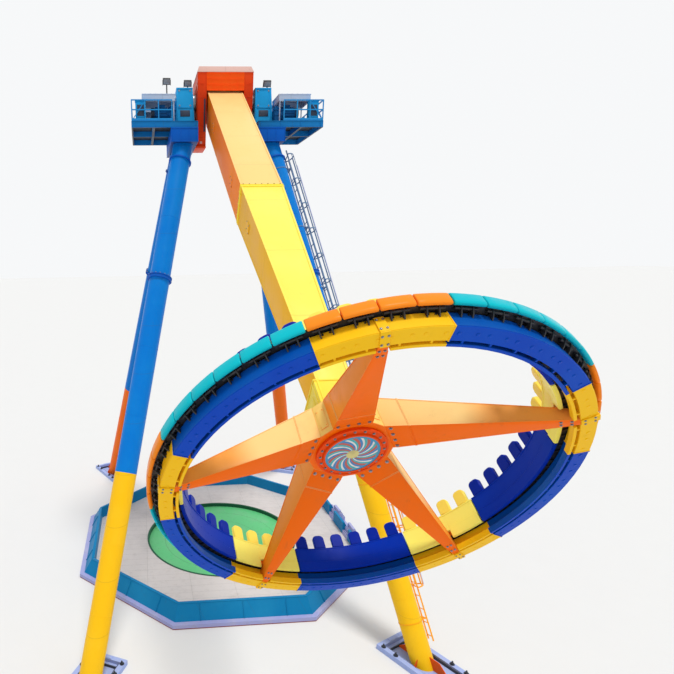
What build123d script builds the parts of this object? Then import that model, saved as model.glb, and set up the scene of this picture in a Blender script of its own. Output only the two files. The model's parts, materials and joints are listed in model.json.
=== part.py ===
from build123d import *
from math import atan2, cos, degrees, hypot, radians, sin
import os

os.makedirs("parts", exist_ok=True)

# Giant pendulum ride in its photographed pose. Millimetres, +Z up.
# Origin: ground level under the pivot, at the middle of the boarding deck.
# X runs along the pivot axis and the arm swings in the YZ plane.

# Swing geometry
pivot_height = 25500
arm_reach = 24900
rest_swing = 60
spoke_count = 5
spoke_phase = 42.4

# Tower legs
foot_x = 7450
foot_y = 12050
leg_top_x = 2330
leg_top_y = 1800
leg_diameter = 1000
paint_break_height = 8300
leg_joint_height = 16700
base_plate_thickness = 60
base_length = 3600
base_width = 1900
base_beam = 240
anchor_hole = 70
gusset_height = 520
gusset_thickness = 40
block_bottom = 22700
block_top = 23900
block_inner = 1500
block_outer = 2850
block_half_depth = 2350

# Caged ladder on the front right leg
ladder_standoff = 190
ladder_width = 440
ladder_rail = 60
ladder_start = 900
ladder_end = 25400
rung_spacing = 600
rung_size = 30
ladder_band = 20
ladder_bands = 8
cage_start = 3300
cage_hoops = 17
cage_radius = 370
cage_bar = 25

# Maintenance platforms
platform_inner = 1500
platform_outer = 4760
platform_half_depth = 2270
platform_frame_height = 260
grating_thickness = 40
railing_height = 950
railing_bar = 50

# Tower head
cheek_inner = 950
cheek_outer = 1400
cheek_top = 26600
cheek_bottom = 23250
cheek_half_depth_top = 1900
cheek_half_depth_bottom = 1250
cheek_flange = 100
hood_bottom = 25600
hood_sheet = 60
cap_height = 300
housing_length = 2000
housing_height = 1850
housing_inner = 1550
housing_outer = 2500

# Floodlights
lamp_width = 380
lamp_height = 280
lamp_depth = 170
lamp_post = 60
lamp_post_height = 120

# Pivot shaft and arm
shaft_radius = 400
shaft_half_length = 2470
bearing_clearance = 0.05
cheek_clearance = 30
arm_width_top = 1750
arm_depth_top = 1600
arm_width_splice = 1560
arm_depth_splice = 1450
arm_width_end = 860
arm_depth_end = 900
splice_at = 12030
splice_thickness = 120
splice_margin = 20
lower_arm_end = 21950
casing_width = 1100
casing_end = 23000

# Gondola hub and spokes
turn_gap = 10
spindle_radius = 250
spindle_length = 600
hub_apothem = 1050
hub_bottom = 23730
hub_plate_radius = 1030
hub_plate_thickness = 60
hub_disc_radius = 650
hub_disc_thickness = 40
spoke_root_width = 850
spoke_root_depth = 680
spoke_tip_width = 370
spoke_tip_depth = 360

# Ring beam, measured outward and up from the ring plane
beam_inner = 4070
beam_ridge = 4300
beam_outer = 4520
beam_facet_rise = 200
beam_height = 300
shoe_depth = 120
shoe_length = 620
shoe_gap = 5
seat_count = 50
yellow_seats_per_spoke = 4
blue_seats_per_bay = 6
panel_inner = 4170
panel_thickness = 60
panel_bottom = 480
panel_top = 1150
panel_end_gap = 12
headrest_width = 400
headrest_height = 330
headrest_depth = 140
seat_width = 500
seat_back = 110
seat_pan_outer = 4790
seat_pan_thickness = 150
seat_lip = 90
seat_side = 45
bracket_width = 70

# Boarding deck
deck_inradius = 7870
kerb_inradius = 8700
parapet_foot_inradius = 8450
parapet_head_inradius = 8000
deck_height = 250
parapet_top = 1000
steps_width = 900
steps_gap = 10
steps_tread = 160
steps_places = (1600, -1000)
pit_radius = 4700
pit_wall_thickness = 60
pit_floor_thickness = 30

# Derived values
seat_pitch = 360 / seat_count
yellow_span = yellow_seats_per_spoke * seat_pitch
blue_span = blue_seats_per_bay * seat_pitch
bay_pitch = 360 / spoke_count
pivot = Location((0, 0, pivot_height), (-rest_swing, 0, 0))
ring_plane = -arm_reach
hub_top = casing_end + turn_gap
platform_top = block_top + platform_frame_height + grating_thickness
leg_run_x = foot_x - leg_top_x
leg_run_y = foot_y - leg_top_y
leg_length = hypot(leg_run_x, leg_run_y, block_bottom)
leg_bearing = degrees(atan2(leg_run_x, leg_run_y))


def save(piece, name):
    piece.part.label = name
    export_step(piece.part, "parts/" + name + ".step")


def corners():
    return [(side, end) for side in (-1, 1) for end in (-1, 1)]


def leg_plane(side, end, along):
    foot = Vector(side * foot_x, end * foot_y, 0)
    top = Vector(side * leg_top_x, end * leg_top_y, block_bottom)
    line = (top - foot) * (1 / leg_length)
    return Plane(origin=foot + line * along, x_dir=(0, 1, 0), z_dir=line)


def height_to_length(height):
    return height * leg_length / block_bottom


# Tower

def build_leg_lower_tubes():
    with BuildPart() as leg_lower_tubes:
        for side, end in corners():
            with BuildSketch(leg_plane(side, end, -800)):
                Circle(leg_diameter / 2)
            extrude(amount=height_to_length(paint_break_height) + 800)
        split(bisect_by=Plane.XY.offset(base_plate_thickness), keep=Keep.TOP)
    save(leg_lower_tubes, "leg_lower_tubes")


def build_leg_upper_tubes():
    start = height_to_length(paint_break_height)
    with BuildPart() as leg_upper_tubes:
        for side, end in corners():
            with BuildSketch(leg_plane(side, end, start)):
                Circle(leg_diameter / 2)
            extrude(amount=leg_length - start + 800)
        split(bisect_by=Plane.XY.offset(block_bottom), keep=Keep.BOTTOM)
    save(leg_upper_tubes, "leg_upper_tubes")


def build_leg_joint_collars():
    start = height_to_length(leg_joint_height)
    with BuildPart() as leg_joint_collars:
        for side, end in corners():
            with BuildSketch(leg_plane(side, end, start)):
                Circle(leg_diameter / 2 + 70)
                Circle(leg_diameter / 2, mode=Mode.SUBTRACT)
            extrude(amount=160)
    save(leg_joint_collars, "leg_joint_collars")


def build_leg_bases():
    inner_length = base_length - 2 * base_beam
    inner_width = base_width - 2 * base_beam
    with BuildPart() as leg_bases:
        for side, end in corners():
            turn = -side * end * leg_bearing
            with Locations(Location((side * foot_x, end * foot_y, 0), (0, 0, turn))):
                Box(base_width, base_length, base_beam, align=(Align.CENTER, Align.CENTER, Align.MIN))
                with Locations((0, 0, base_plate_thickness)):
                    Box(
                        inner_width,
                        inner_length,
                        base_beam,
                        align=(Align.CENTER, Align.CENTER, Align.MIN),
                        mode=Mode.SUBTRACT,
                    )
                with GridLocations(base_width - base_beam, base_width - base_beam, 2, 2):
                    Cylinder(anchor_hole / 2, 3 * base_beam, mode=Mode.SUBTRACT)
    save(leg_bases, "leg_bases")


def build_leg_gussets():
    reach_x = (base_width - 2 * base_beam) / 2 - 20
    reach_y = (base_length - 2 * base_beam) / 2 - 200
    with BuildPart() as leg_gussets:
        for side, end in corners():
            turn = -side * end * leg_bearing
            footing = Location((side * foot_x, end * foot_y, base_plate_thickness), (0, 0, turn))
            for reach, quarter in ((reach_x, 0), (reach_y, 90)):
                upright = footing * Location((0, 0, 0), (0, 0, quarter)) * Location((0, 0, 0), (90, 0, 0))
                with BuildSketch(Plane(upright)):
                    with BuildLine():
                        Polyline((-reach, 0), (reach, 0), (reach * 0.55, gusset_height), (-reach * 0.55, gusset_height), close=True)
                    make_face()
                extrude(amount=gusset_thickness / 2, both=True)
        for side, end in corners():
            with BuildSketch(leg_plane(side, end, -800)):
                Circle(leg_diameter / 2)
            extrude(amount=3000, mode=Mode.SUBTRACT)
    save(leg_gussets, "leg_gussets")


def ladder_place(across, out, along):
    line = leg_plane(1, -1, 0).z_dir
    footing = Plane(origin=(foot_x, -foot_y, 0), x_dir=(1, 0, 0), z_dir=line)
    return footing.location * Location((out, across, along))


def build_access_ladder():
    out = leg_diameter / 2 + ladder_standoff
    length = ladder_end - ladder_start
    rungs = int(length / rung_spacing)
    with BuildPart() as access_ladder:
        for side in (-1, 1):
            with Locations(ladder_place(side * ladder_width / 2, out, ladder_start)):
                Box(ladder_rail, ladder_rail / 2, length, align=(Align.CENTER, Align.CENTER, Align.MIN))
        for n in range(rungs):
            with Locations(ladder_place(0, out, ladder_start + 200 + n * rung_spacing)):
                Box(rung_size, ladder_width, rung_size)
        for n in range(ladder_bands):
            along = ladder_start + 1000 + n * (length - 2000) / (ladder_bands - 1)
            with BuildSketch(Plane(ladder_place(0, 0, along))):
                Circle(leg_diameter / 2 + ladder_band)
                with Locations(((leg_diameter / 2 + out) / 2, 0)):
                    Rectangle(out - leg_diameter / 2, ladder_width)
                Circle(leg_diameter / 2, mode=Mode.SUBTRACT)
            extrude(amount=rung_size)
        for n in range(cage_hoops):
            along = cage_start + n * (ladder_end - 300 - cage_start) / (cage_hoops - 1)
            with BuildSketch(Plane(ladder_place(0, out, along))):
                Circle(cage_radius)
                Circle(cage_radius - cage_bar, mode=Mode.SUBTRACT)
                with Locations((-cage_radius, 0)):
                    Rectangle(2 * cage_radius, 3 * cage_radius, mode=Mode.SUBTRACT)
            extrude(amount=2 * cage_bar)
            with Locations(ladder_place(0, out, along + cage_bar)):
                Box(cage_bar, 2 * cage_radius, 2 * cage_bar)
        for turn in (-60, -20, 20, 60):
            reach = cage_radius - cage_bar / 2
            place = ladder_place(reach * sin(radians(turn)), out + reach * cos(radians(turn)), cage_start)
            with Locations(place):
                Box(cage_bar, cage_bar, ladder_end - 300 - cage_start, align=(Align.CENTER, Align.CENTER, Align.MIN))
    save(access_ladder, "access_ladder")


def build_leg_head_blocks():
    width = block_outer - block_inner
    with BuildPart() as leg_head_blocks:
        for side in (-1, 1):
            with Locations((side * (block_inner + width / 2), 0, block_bottom)):
                Box(
                    width,
                    2 * block_half_depth,
                    block_top - block_bottom,
                    align=(Align.CENTER, Align.CENTER, Align.MIN),
                )
    save(leg_head_blocks, "leg_head_blocks")


def build_platform_frames():
    width = platform_outer - platform_inner
    bay_x = width / 3
    bay_y = platform_half_depth
    with BuildPart() as platform_frames:
        for side in (-1, 1):
            with Locations((side * (platform_inner + width / 2), 0, block_top)):
                Box(
                    width,
                    2 * platform_half_depth,
                    platform_frame_height,
                    align=(Align.CENTER, Align.CENTER, Align.MIN),
                )
                with GridLocations(bay_x, bay_y, 3, 2):
                    Box(
                        bay_x - 120,
                        bay_y - 120,
                        3 * platform_frame_height,
                        mode=Mode.SUBTRACT,
                    )
    save(platform_frames, "platform_frames")


def build_platform_gratings():
    width = platform_outer - platform_inner
    with BuildPart() as platform_gratings:
        for side in (-1, 1):
            with Locations((side * (platform_inner + width / 2), 0, block_top + platform_frame_height)):
                Box(
                    width,
                    2 * platform_half_depth,
                    grating_thickness,
                    align=(Align.CENTER, Align.CENTER, Align.MIN),
                )
    save(platform_gratings, "platform_gratings")


def build_platform_railings():
    bar = railing_bar
    span_x = platform_outer - housing_outer - 250
    middle_x = platform_outer - span_x / 2
    with BuildPart() as platform_railings:
        for side in (-1, 1):
            for edge in (-1, 1):
                for level in (railing_height - bar, railing_height / 2):
                    with Locations((side * middle_x, edge * (platform_half_depth - bar / 2), platform_top + level)):
                        Box(span_x, bar, bar, align=(Align.CENTER, Align.CENTER, Align.MIN))
                for step in range(4):
                    post_x = platform_outer - bar / 2 - step * (span_x - bar) / 3
                    with Locations((side * post_x, edge * (platform_half_depth - bar / 2), platform_top)):
                        Box(bar, bar, railing_height, align=(Align.CENTER, Align.CENTER, Align.MIN))
            for level in (railing_height - bar, railing_height / 2):
                with Locations((side * (platform_outer - bar / 2), 0, platform_top + level)):
                    Box(
                        bar,
                        2 * platform_half_depth,
                        bar,
                        align=(Align.CENTER, Align.CENTER, Align.MIN),
                    )
            for step in (-1, 0, 1):
                with Locations((side * (platform_outer - bar / 2), step * 1100, platform_top)):
                    Box(bar, bar, railing_height, align=(Align.CENTER, Align.CENTER, Align.MIN))
    save(platform_railings, "platform_railings")


def build_head_cheeks():
    with BuildPart() as head_cheeks:
        for side in (-1, 1):
            start = side * cheek_inner
            with BuildSketch(Plane.YZ.offset(start)):
                with BuildLine():
                    Polyline(
                        (-cheek_half_depth_bottom, cheek_bottom),
                        (cheek_half_depth_bottom, cheek_bottom),
                        (cheek_half_depth_top, cheek_top),
                        (-cheek_half_depth_top, cheek_top),
                        close=True,
                    )
                make_face()
                with Locations((0, pivot_height)):
                    Circle(shaft_radius + cheek_clearance, mode=Mode.SUBTRACT)
            extrude(amount=side * (cheek_outer - cheek_inner))
            with Locations((side * (cheek_inner + block_inner) / 2, 0, cheek_bottom - cheek_flange)):
                Box(
                    block_inner - cheek_inner,
                    2 * cheek_half_depth_bottom + 200,
                    cheek_flange,
                    align=(Align.CENTER, Align.CENTER, Align.MIN),
                )
            with Locations((side * (cheek_outer + block_inner) / 2, 0, cheek_bottom)):
                Box(
                    block_inner - cheek_outer,
                    2 * cheek_half_depth_bottom - 200,
                    block_top - cheek_bottom,
                    align=(Align.CENTER, Align.CENTER, Align.MIN),
                )
    save(head_cheeks, "head_cheeks")


def build_head_hood():
    slope = (cheek_half_depth_top - cheek_half_depth_bottom) / (cheek_top - cheek_bottom)
    low = cheek_half_depth_top - slope * (cheek_top - hood_bottom)
    with BuildPart() as head_hood:
        with BuildSketch(Plane.YZ.offset(-cheek_inner)):
            with BuildLine():
                Polyline(
                    (-low, hood_bottom),
                    (-cheek_half_depth_top, cheek_top),
                    (cheek_half_depth_top, cheek_top),
                    (low, hood_bottom),
                    (low - hood_sheet, hood_bottom),
                    (cheek_half_depth_top - hood_sheet, cheek_top - hood_sheet),
                    (hood_sheet - cheek_half_depth_top, cheek_top - hood_sheet),
                    (hood_sheet - low, hood_bottom),
                    close=True,
                )
            make_face()
        extrude(amount=2 * cheek_inner)
    save(head_hood, "head_hood")


def build_head_cap():
    with BuildPart() as head_cap:
        with BuildSketch(Plane.XY.offset(cheek_top)):
            Rectangle(2 * cheek_outer + 60, 2 * cheek_half_depth_top + 60)
        with BuildSketch(Plane.XY.offset(cheek_top + cap_height)):
            Rectangle(2 * cheek_outer - 160, 2 * cheek_half_depth_top - 300)
        loft()
    save(head_cap, "head_cap")


def build_bearing_housings():
    width = housing_outer - housing_inner
    with BuildPart() as bearing_housings:
        for side in (-1, 1):
            middle = side * (housing_inner + width / 2)
            with BuildSketch(Plane.XY.offset(platform_top)):
                with Locations((middle, 0)):
                    Rectangle(width, housing_length)
            with BuildSketch(Plane.XY.offset(platform_top + housing_height)):
                with Locations((middle, 0)):
                    Rectangle(width - 120, housing_length - 500)
            loft()
        with Locations(Location((0, 0, pivot_height), (0, 90, 0))):
            Cylinder(shaft_radius + bearing_clearance, 2 * housing_outer + 200, mode=Mode.SUBTRACT)
    save(bearing_housings, "bearing_housings")


def build_drive_motors():
    with BuildPart() as drive_motors:
        for side in (-1, 1):
            for end in (-1, 1):
                with Locations((side * 3200, end * 1000, platform_top)):
                    Box(1100, 700, 250, align=(Align.CENTER, Align.CENTER, Align.MIN))
                with Locations(Location((side * 3300, end * 1000, platform_top + 560), (0, 90, 0))):
                    Cylinder(330, 1000)
                with Locations((side * 2680, end * 1000, platform_top)):
                    Box(340, 800, 1050, align=(Align.CENTER, Align.CENTER, Align.MIN))
    save(drive_motors, "drive_motors")


def build_canopies():
    with BuildPart() as canopies:
        for side in (-1, 1):
            for end in (-1, 1):
                with Locations((side * 3400, end * 1100, platform_top + 1150)):
                    Box(1600, 1500, 120, align=(Align.CENTER, Align.CENTER, Align.MIN))
                for dx in (-740, 740):
                    for dy in (-690, 690):
                        with Locations((side * 3400 + dx, end * 1100 + dy, platform_top)):
                            Box(50, 50, 1150, align=(Align.CENTER, Align.CENTER, Align.MIN))
    save(canopies, "canopies")


def build_floodlights():
    housing_top = platform_top + housing_height
    canopy_top = platform_top + 1270
    spots = [
        (-1850, -600, housing_top, lamp_post_height),
        (-2950, -1150, canopy_top, housing_top - canopy_top + lamp_post_height - 60),
        (2250, -600, housing_top, lamp_post_height),
    ]
    with BuildPart() as floodlights:
        for x, y, base, post in spots:
            with Locations((x, y, base)):
                Box(lamp_post, lamp_post, post, align=(Align.CENTER, Align.CENTER, Align.MIN))
            with Locations(Location((x, y, base + post + lamp_height / 2 - 30), (25, 0, 0))):
                Box(lamp_width, lamp_depth, lamp_height)
    save(floodlights, "floodlights")


# Arm, drawn hanging straight down from the pivot

def build_pivot_shaft():
    with BuildPart() as pivot_shaft:
        with Locations(Location((0, 0, 0), (0, 90, 0))):
            Cylinder(shaft_radius, 2 * shaft_half_length)
    pivot_shaft.part.move(pivot)
    save(pivot_shaft, "pivot_shaft")


def build_arm_upper():
    head_radius = arm_depth_top / 2
    with BuildPart() as arm_upper:
        with BuildSketch(Plane.XY.offset(-splice_at)):
            Rectangle(arm_width_splice, arm_depth_splice)
        with BuildSketch(Plane.XY.offset(-head_radius)):
            Rectangle(arm_width_top, arm_depth_top)
        loft()
        with BuildSketch(Plane.YZ.offset(-arm_width_top / 2)):
            Circle(head_radius)
            with Locations((0, -head_radius / 2)):
                Rectangle(arm_depth_top, head_radius)
            Circle(shaft_radius, mode=Mode.SUBTRACT)
        extrude(amount=arm_width_top)
    arm_upper.part.move(pivot)
    save(arm_upper, "arm_upper")


def build_arm_splice():
    with BuildPart() as arm_splice:
        with BuildSketch(Plane.XY.offset(-splice_at)):
            Rectangle(arm_width_splice + 2 * splice_margin, arm_depth_splice + 2 * splice_margin)
        extrude(amount=-splice_thickness)
    arm_splice.part.move(pivot)
    save(arm_splice, "arm_splice")


def build_arm_lower():
    with BuildPart() as arm_lower:
        with BuildSketch(Plane.XY.offset(-lower_arm_end)):
            Rectangle(arm_width_end, arm_depth_end)
        with BuildSketch(Plane.XY.offset(-splice_at - splice_thickness)):
            Rectangle(arm_width_splice, arm_depth_splice)
        loft()
    arm_lower.part.move(pivot)
    save(arm_lower, "arm_lower")


def build_turning_casing():
    with BuildPart() as turning_casing:
        with BuildSketch(Plane.XY.offset(-lower_arm_end)):
            Rectangle(casing_width, casing_width)
        extrude(amount=lower_arm_end - casing_end)
        with BuildSketch(Plane.XY.offset(-casing_end)):
            Circle(spindle_radius + bearing_clearance)
        extrude(amount=spindle_length + turn_gap, mode=Mode.SUBTRACT)
    turning_casing.part.move(pivot)
    save(turning_casing, "turning_casing")


# Gondola, drawn round the arm line with the ring plane below the pivot

def build_hub():
    corner_radius = hypot(hub_apothem, spoke_root_width / 2)
    half_angle = degrees(atan2(spoke_root_width / 2, hub_apothem))
    turns = [spoke_phase + bay_pitch * k + s * half_angle for k in range(spoke_count) for s in (-1, 1)]
    with BuildPart() as hub:
        with BuildSketch(Plane.XY.offset(-hub_bottom)):
            with BuildLine():
                Polyline(
                    *[(corner_radius * cos(radians(t)), corner_radius * sin(radians(t))) for t in turns],
                    close=True,
                )
            make_face()
        extrude(amount=hub_bottom - hub_top)
        with BuildSketch(Plane.XY.offset(-hub_top)):
            Circle(spindle_radius)
        extrude(amount=spindle_length)
    hub.part.move(pivot)
    save(hub, "hub")


def build_hub_plate():
    with BuildPart() as hub_plate:
        with BuildSketch(Plane.XY.offset(-hub_bottom)):
            Circle(hub_plate_radius)
        extrude(amount=-hub_plate_thickness)
    hub_plate.part.move(pivot)
    save(hub_plate, "hub_plate")


def build_hub_disc():
    with BuildPart() as hub_disc:
        with BuildSketch(Plane.XY.offset(-hub_bottom - hub_plate_thickness)):
            Circle(hub_disc_radius)
        extrude(amount=-hub_disc_thickness)
    hub_disc.part.move(pivot)
    save(hub_disc, "hub_disc")


def build_spokes():
    root_middle = -hub_bottom + spoke_root_depth / 2
    tip_middle = ring_plane + spoke_tip_depth / 2
    with BuildPart() as spoke:
        with BuildSketch(Plane(origin=(hub_apothem, 0, root_middle), x_dir=(0, 1, 0), z_dir=(1, 0, 0))):
            Rectangle(spoke_root_width, spoke_root_depth)
        with BuildSketch(Plane(origin=(beam_ridge, 0, tip_middle), x_dir=(0, 1, 0), z_dir=(1, 0, 0))):
            Rectangle(spoke_tip_width, spoke_tip_depth)
        loft()
        with Locations((0, 0, ring_plane)):
            Cylinder(beam_inner, 6000, mode=Mode.INTERSECT)
    with BuildPart() as spokes:
        with PolarLocations(0, spoke_count, start_angle=spoke_phase):
            add(spoke.part)
    spokes.part.move(pivot)
    save(spokes, "spokes")


def build_spoke_shoes():
    outer = beam_ridge - 20
    with BuildPart() as shoe:
        with BuildSketch(Plane.XZ.offset(-spoke_tip_width / 2)):
            with BuildLine():
                Polyline(
                    (outer, ring_plane - shoe_gap),
                    (outer - shoe_length, ring_plane - shoe_gap),
                    (outer - 60, ring_plane - shoe_depth),
                    close=True,
                )
            make_face()
        extrude(amount=spoke_tip_width)
        with Locations((outer - shoe_length / 3, 0, ring_plane)):
            Box(shoe_length / 3, spoke_tip_width - 120, 2 * shoe_gap, align=(Align.CENTER, Align.CENTER, Align.MAX))
    with BuildPart() as spoke_shoes:
        with PolarLocations(0, spoke_count, start_angle=spoke_phase):
            add(shoe.part)
    spoke_shoes.part.move(pivot)
    save(spoke_shoes, "spoke_shoes")


def ring_segments(name, middle, span, profile, gap=0):
    with BuildPart() as segment:
        with BuildSketch(Plane.XZ.rotated((0, 0, middle - span / 2 + gap))):
            with BuildLine():
                Polyline(*profile, close=True)
            make_face()
        revolve(axis=Axis.Z, revolution_arc=span - 2 * gap)
    with BuildPart() as segments:
        with PolarLocations(0, spoke_count):
            add(segment.part)
    segments.part.move(pivot)
    save(segments, name)


def beam_profile():
    return [
        (beam_inner, ring_plane),
        (beam_ridge, ring_plane),
        (beam_outer, ring_plane + beam_facet_rise),
        (beam_outer, ring_plane + beam_height),
        (beam_inner, ring_plane + beam_height),
    ]


def panel_profile():
    return [
        (panel_inner, ring_plane + panel_bottom),
        (panel_inner + panel_thickness, ring_plane + panel_bottom),
        (panel_inner + panel_thickness, ring_plane + panel_top),
        (panel_inner, ring_plane + panel_top),
    ]


def build_ring():
    blue_middle = spoke_phase + bay_pitch / 2
    panel_gap = degrees(panel_end_gap / panel_inner)
    ring_segments("ring_beam_yellow", spoke_phase, yellow_span, beam_profile())
    ring_segments("ring_beam_blue", blue_middle, blue_span, beam_profile())
    ring_segments("back_panels_yellow", spoke_phase, yellow_span, panel_profile(), panel_gap)
    ring_segments("back_panels_blue", blue_middle, blue_span, panel_profile(), panel_gap)


def seat_turns(blue):
    count = blue_seats_per_bay if blue else yellow_seats_per_spoke
    middle = spoke_phase + (bay_pitch / 2 if blue else 0)
    turns = []
    for k in range(spoke_count):
        for n in range(count):
            turns.append(middle + bay_pitch * k + (n - (count - 1) / 2) * seat_pitch)
    return turns


def build_seat_shells(name, blue):
    inner = panel_inner + panel_thickness
    low = ring_plane + panel_bottom - seat_lip
    pan = ring_plane + panel_bottom
    with BuildPart() as shell:
        with BuildSketch(Plane.XZ.offset(-seat_width / 2)):
            with BuildLine():
                Polyline(
                    (inner, pan),
                    (seat_pan_outer - 200, pan),
                    (seat_pan_outer - 140, low),
                    (seat_pan_outer - 30, low),
                    (seat_pan_outer, low + 60),
                    (seat_pan_outer - 40, pan + seat_pan_thickness),
                    (inner + seat_back + 60, pan + seat_pan_thickness - 40),
                    (inner + seat_back, pan + seat_pan_thickness + 40),
                    (inner + seat_back - 30, ring_plane + panel_top),
                    (inner, ring_plane + panel_top),
                    close=True,
                )
            make_face()
        extrude(amount=seat_width)
        for start in (-seat_width / 2, seat_width / 2 - seat_side):
            with BuildSketch(Plane.XZ.offset(start)):
                with BuildLine():
                    Polyline(
                        (inner, pan),
                        (seat_pan_outer - 220, pan),
                        (seat_pan_outer - 90, pan + seat_pan_thickness + 60),
                        (seat_pan_outer - 190, pan + seat_pan_thickness + 130),
                        (inner + seat_back + 110, pan + seat_pan_thickness + 190),
                        (inner + seat_back + 60, ring_plane + panel_top - 120),
                        (inner, ring_plane + panel_top - 60),
                        close=True,
                    )
                make_face()
            extrude(amount=seat_side)
    with BuildPart() as shells:
        for turn in seat_turns(blue):
            with Locations(Location((0, 0, 0), (0, 0, turn))):
                add(shell.part)
    shells.part.move(pivot)
    save(shells, name)


def build_headrests(name, blue):
    middle = panel_inner + panel_thickness / 2
    with BuildPart() as headrest:
        with Locations((middle, 0, ring_plane + panel_top)):
            Box(
                headrest_depth,
                headrest_width,
                headrest_height,
                align=(Align.CENTER, Align.CENTER, Align.MIN),
            )
        chamfer(headrest.edges().filter_by(Axis.X).group_by(Axis.Z)[-1], 90)
    with BuildPart() as headrests:
        for turn in seat_turns(blue):
            with Locations(Location((0, 0, 0), (0, 0, turn))):
                add(headrest.part)
    headrests.part.move(pivot)
    save(headrests, name)


def build_seat_brackets():
    length = beam_outer - panel_inner
    with BuildPart() as bracket:
        with Locations((panel_inner + length / 2, 0, ring_plane + beam_height)):
            Box(
                length,
                bracket_width,
                panel_bottom - beam_height,
                align=(Align.CENTER, Align.CENTER, Align.MIN),
            )
    with BuildPart() as seat_brackets:
        for turn in seat_turns(True) + seat_turns(False):
            with Locations(Location((0, 0, 0), (0, 0, turn))):
                add(bracket.part)
    seat_brackets.part.move(pivot)
    save(seat_brackets, "seat_brackets")


# Boarding deck

def build_deck_floor():
    with BuildPart() as deck_floor:
        with BuildSketch():
            RegularPolygon(deck_inradius, 8, major_radius=False, rotation=22.5)
            Circle(pit_radius, mode=Mode.SUBTRACT)
        extrude(amount=deck_height)
    save(deck_floor, "deck_floor")


def build_deck_kerb():
    with BuildPart() as deck_kerb:
        with BuildSketch():
            RegularPolygon(kerb_inradius, 8, major_radius=False, rotation=22.5)
            RegularPolygon(deck_inradius, 8, major_radius=False, rotation=22.5, mode=Mode.SUBTRACT)
        extrude(amount=deck_height)
    save(deck_kerb, "deck_kerb")


def build_deck_parapet():
    with BuildPart() as deck_parapet:
        with BuildSketch(Plane.XY.offset(deck_height)):
            RegularPolygon(parapet_foot_inradius, 8, major_radius=False, rotation=22.5)
        with BuildSketch(Plane.XY.offset(parapet_top)):
            RegularPolygon(parapet_head_inradius, 8, major_radius=False, rotation=22.5)
        loft()
        with BuildSketch(Plane.XY.offset(deck_height)):
            RegularPolygon(deck_inradius, 8, major_radius=False, rotation=22.5)
        extrude(amount=parapet_top, mode=Mode.SUBTRACT)
        for y in steps_places:
            with Locations(((deck_inradius + kerb_inradius) / 2, y, deck_height)):
                Box(
                    kerb_inradius - deck_inradius + 400,
                    steps_width + 2 * steps_gap,
                    parapet_top,
                    align=(Align.CENTER, Align.CENTER, Align.MIN),
                    mode=Mode.SUBTRACT,
                )
    save(deck_parapet, "deck_parapet")


def build_deck_steps():
    rise = (parapet_top - deck_height) / 3
    middle = (deck_inradius + kerb_inradius) / 2
    with BuildPart() as deck_steps:
        for y in steps_places:
            for n in range(3):
                half = steps_tread * (2.5 - n)
                with Locations((middle, y, deck_height + n * rise)):
                    Box(2 * half, steps_width, rise, align=(Align.CENTER, Align.CENTER, Align.MIN))
    save(deck_steps, "deck_steps")


def build_pit():
    with BuildPart() as pit_floor:
        with BuildSketch():
            Circle(pit_radius)
        extrude(amount=pit_floor_thickness)
    save(pit_floor, "pit_floor")
    with BuildPart() as pit_wall:
        with BuildSketch(Plane.XY.offset(pit_floor_thickness)):
            Circle(pit_radius)
            Circle(pit_radius - pit_wall_thickness, mode=Mode.SUBTRACT)
        extrude(amount=deck_height - pit_floor_thickness)
    save(pit_wall, "pit_wall")


build_leg_lower_tubes()
build_leg_upper_tubes()
build_leg_joint_collars()
build_leg_bases()
build_leg_gussets()
build_access_ladder()
build_leg_head_blocks()
build_platform_frames()
build_platform_gratings()
build_platform_railings()
build_head_cheeks()
build_head_hood()
build_head_cap()
build_bearing_housings()
build_drive_motors()
build_canopies()
build_floodlights()
build_pivot_shaft()
build_arm_upper()
build_arm_splice()
build_arm_lower()
build_turning_casing()
build_hub()
build_hub_plate()
build_hub_disc()
build_spokes()
build_spoke_shoes()
build_ring()
build_seat_shells("seat_shells_teal", True)
build_seat_shells("seat_shells_orange", False)
build_headrests("headrests_blue", True)
build_headrests("headrests_yellow", False)
build_seat_brackets()
build_deck_floor()
build_deck_kerb()
build_deck_parapet()
build_deck_steps()
build_pit()
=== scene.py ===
import json
from functools import cache, partial
from itertools import product
from math import cos, hypot, pi, radians, sin

import bmesh
import bpy
from mathutils import Matrix, Vector


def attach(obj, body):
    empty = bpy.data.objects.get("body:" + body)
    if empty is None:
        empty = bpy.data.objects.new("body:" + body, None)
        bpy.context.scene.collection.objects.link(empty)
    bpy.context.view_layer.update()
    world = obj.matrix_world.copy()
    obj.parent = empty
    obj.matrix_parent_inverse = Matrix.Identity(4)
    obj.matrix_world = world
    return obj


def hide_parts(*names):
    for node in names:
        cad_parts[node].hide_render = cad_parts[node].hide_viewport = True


bl_info = {
    "name": "Pendulum Ride Builder",
    "version": (1, 0, 0),
    "blender": (4, 5, 0),
    "location": "3D View > Sidebar > Pendulum Ride",
    "description": "Paints and details a giant pendulum ride on its packed frame",
    "category": "Add Mesh",
}

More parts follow.
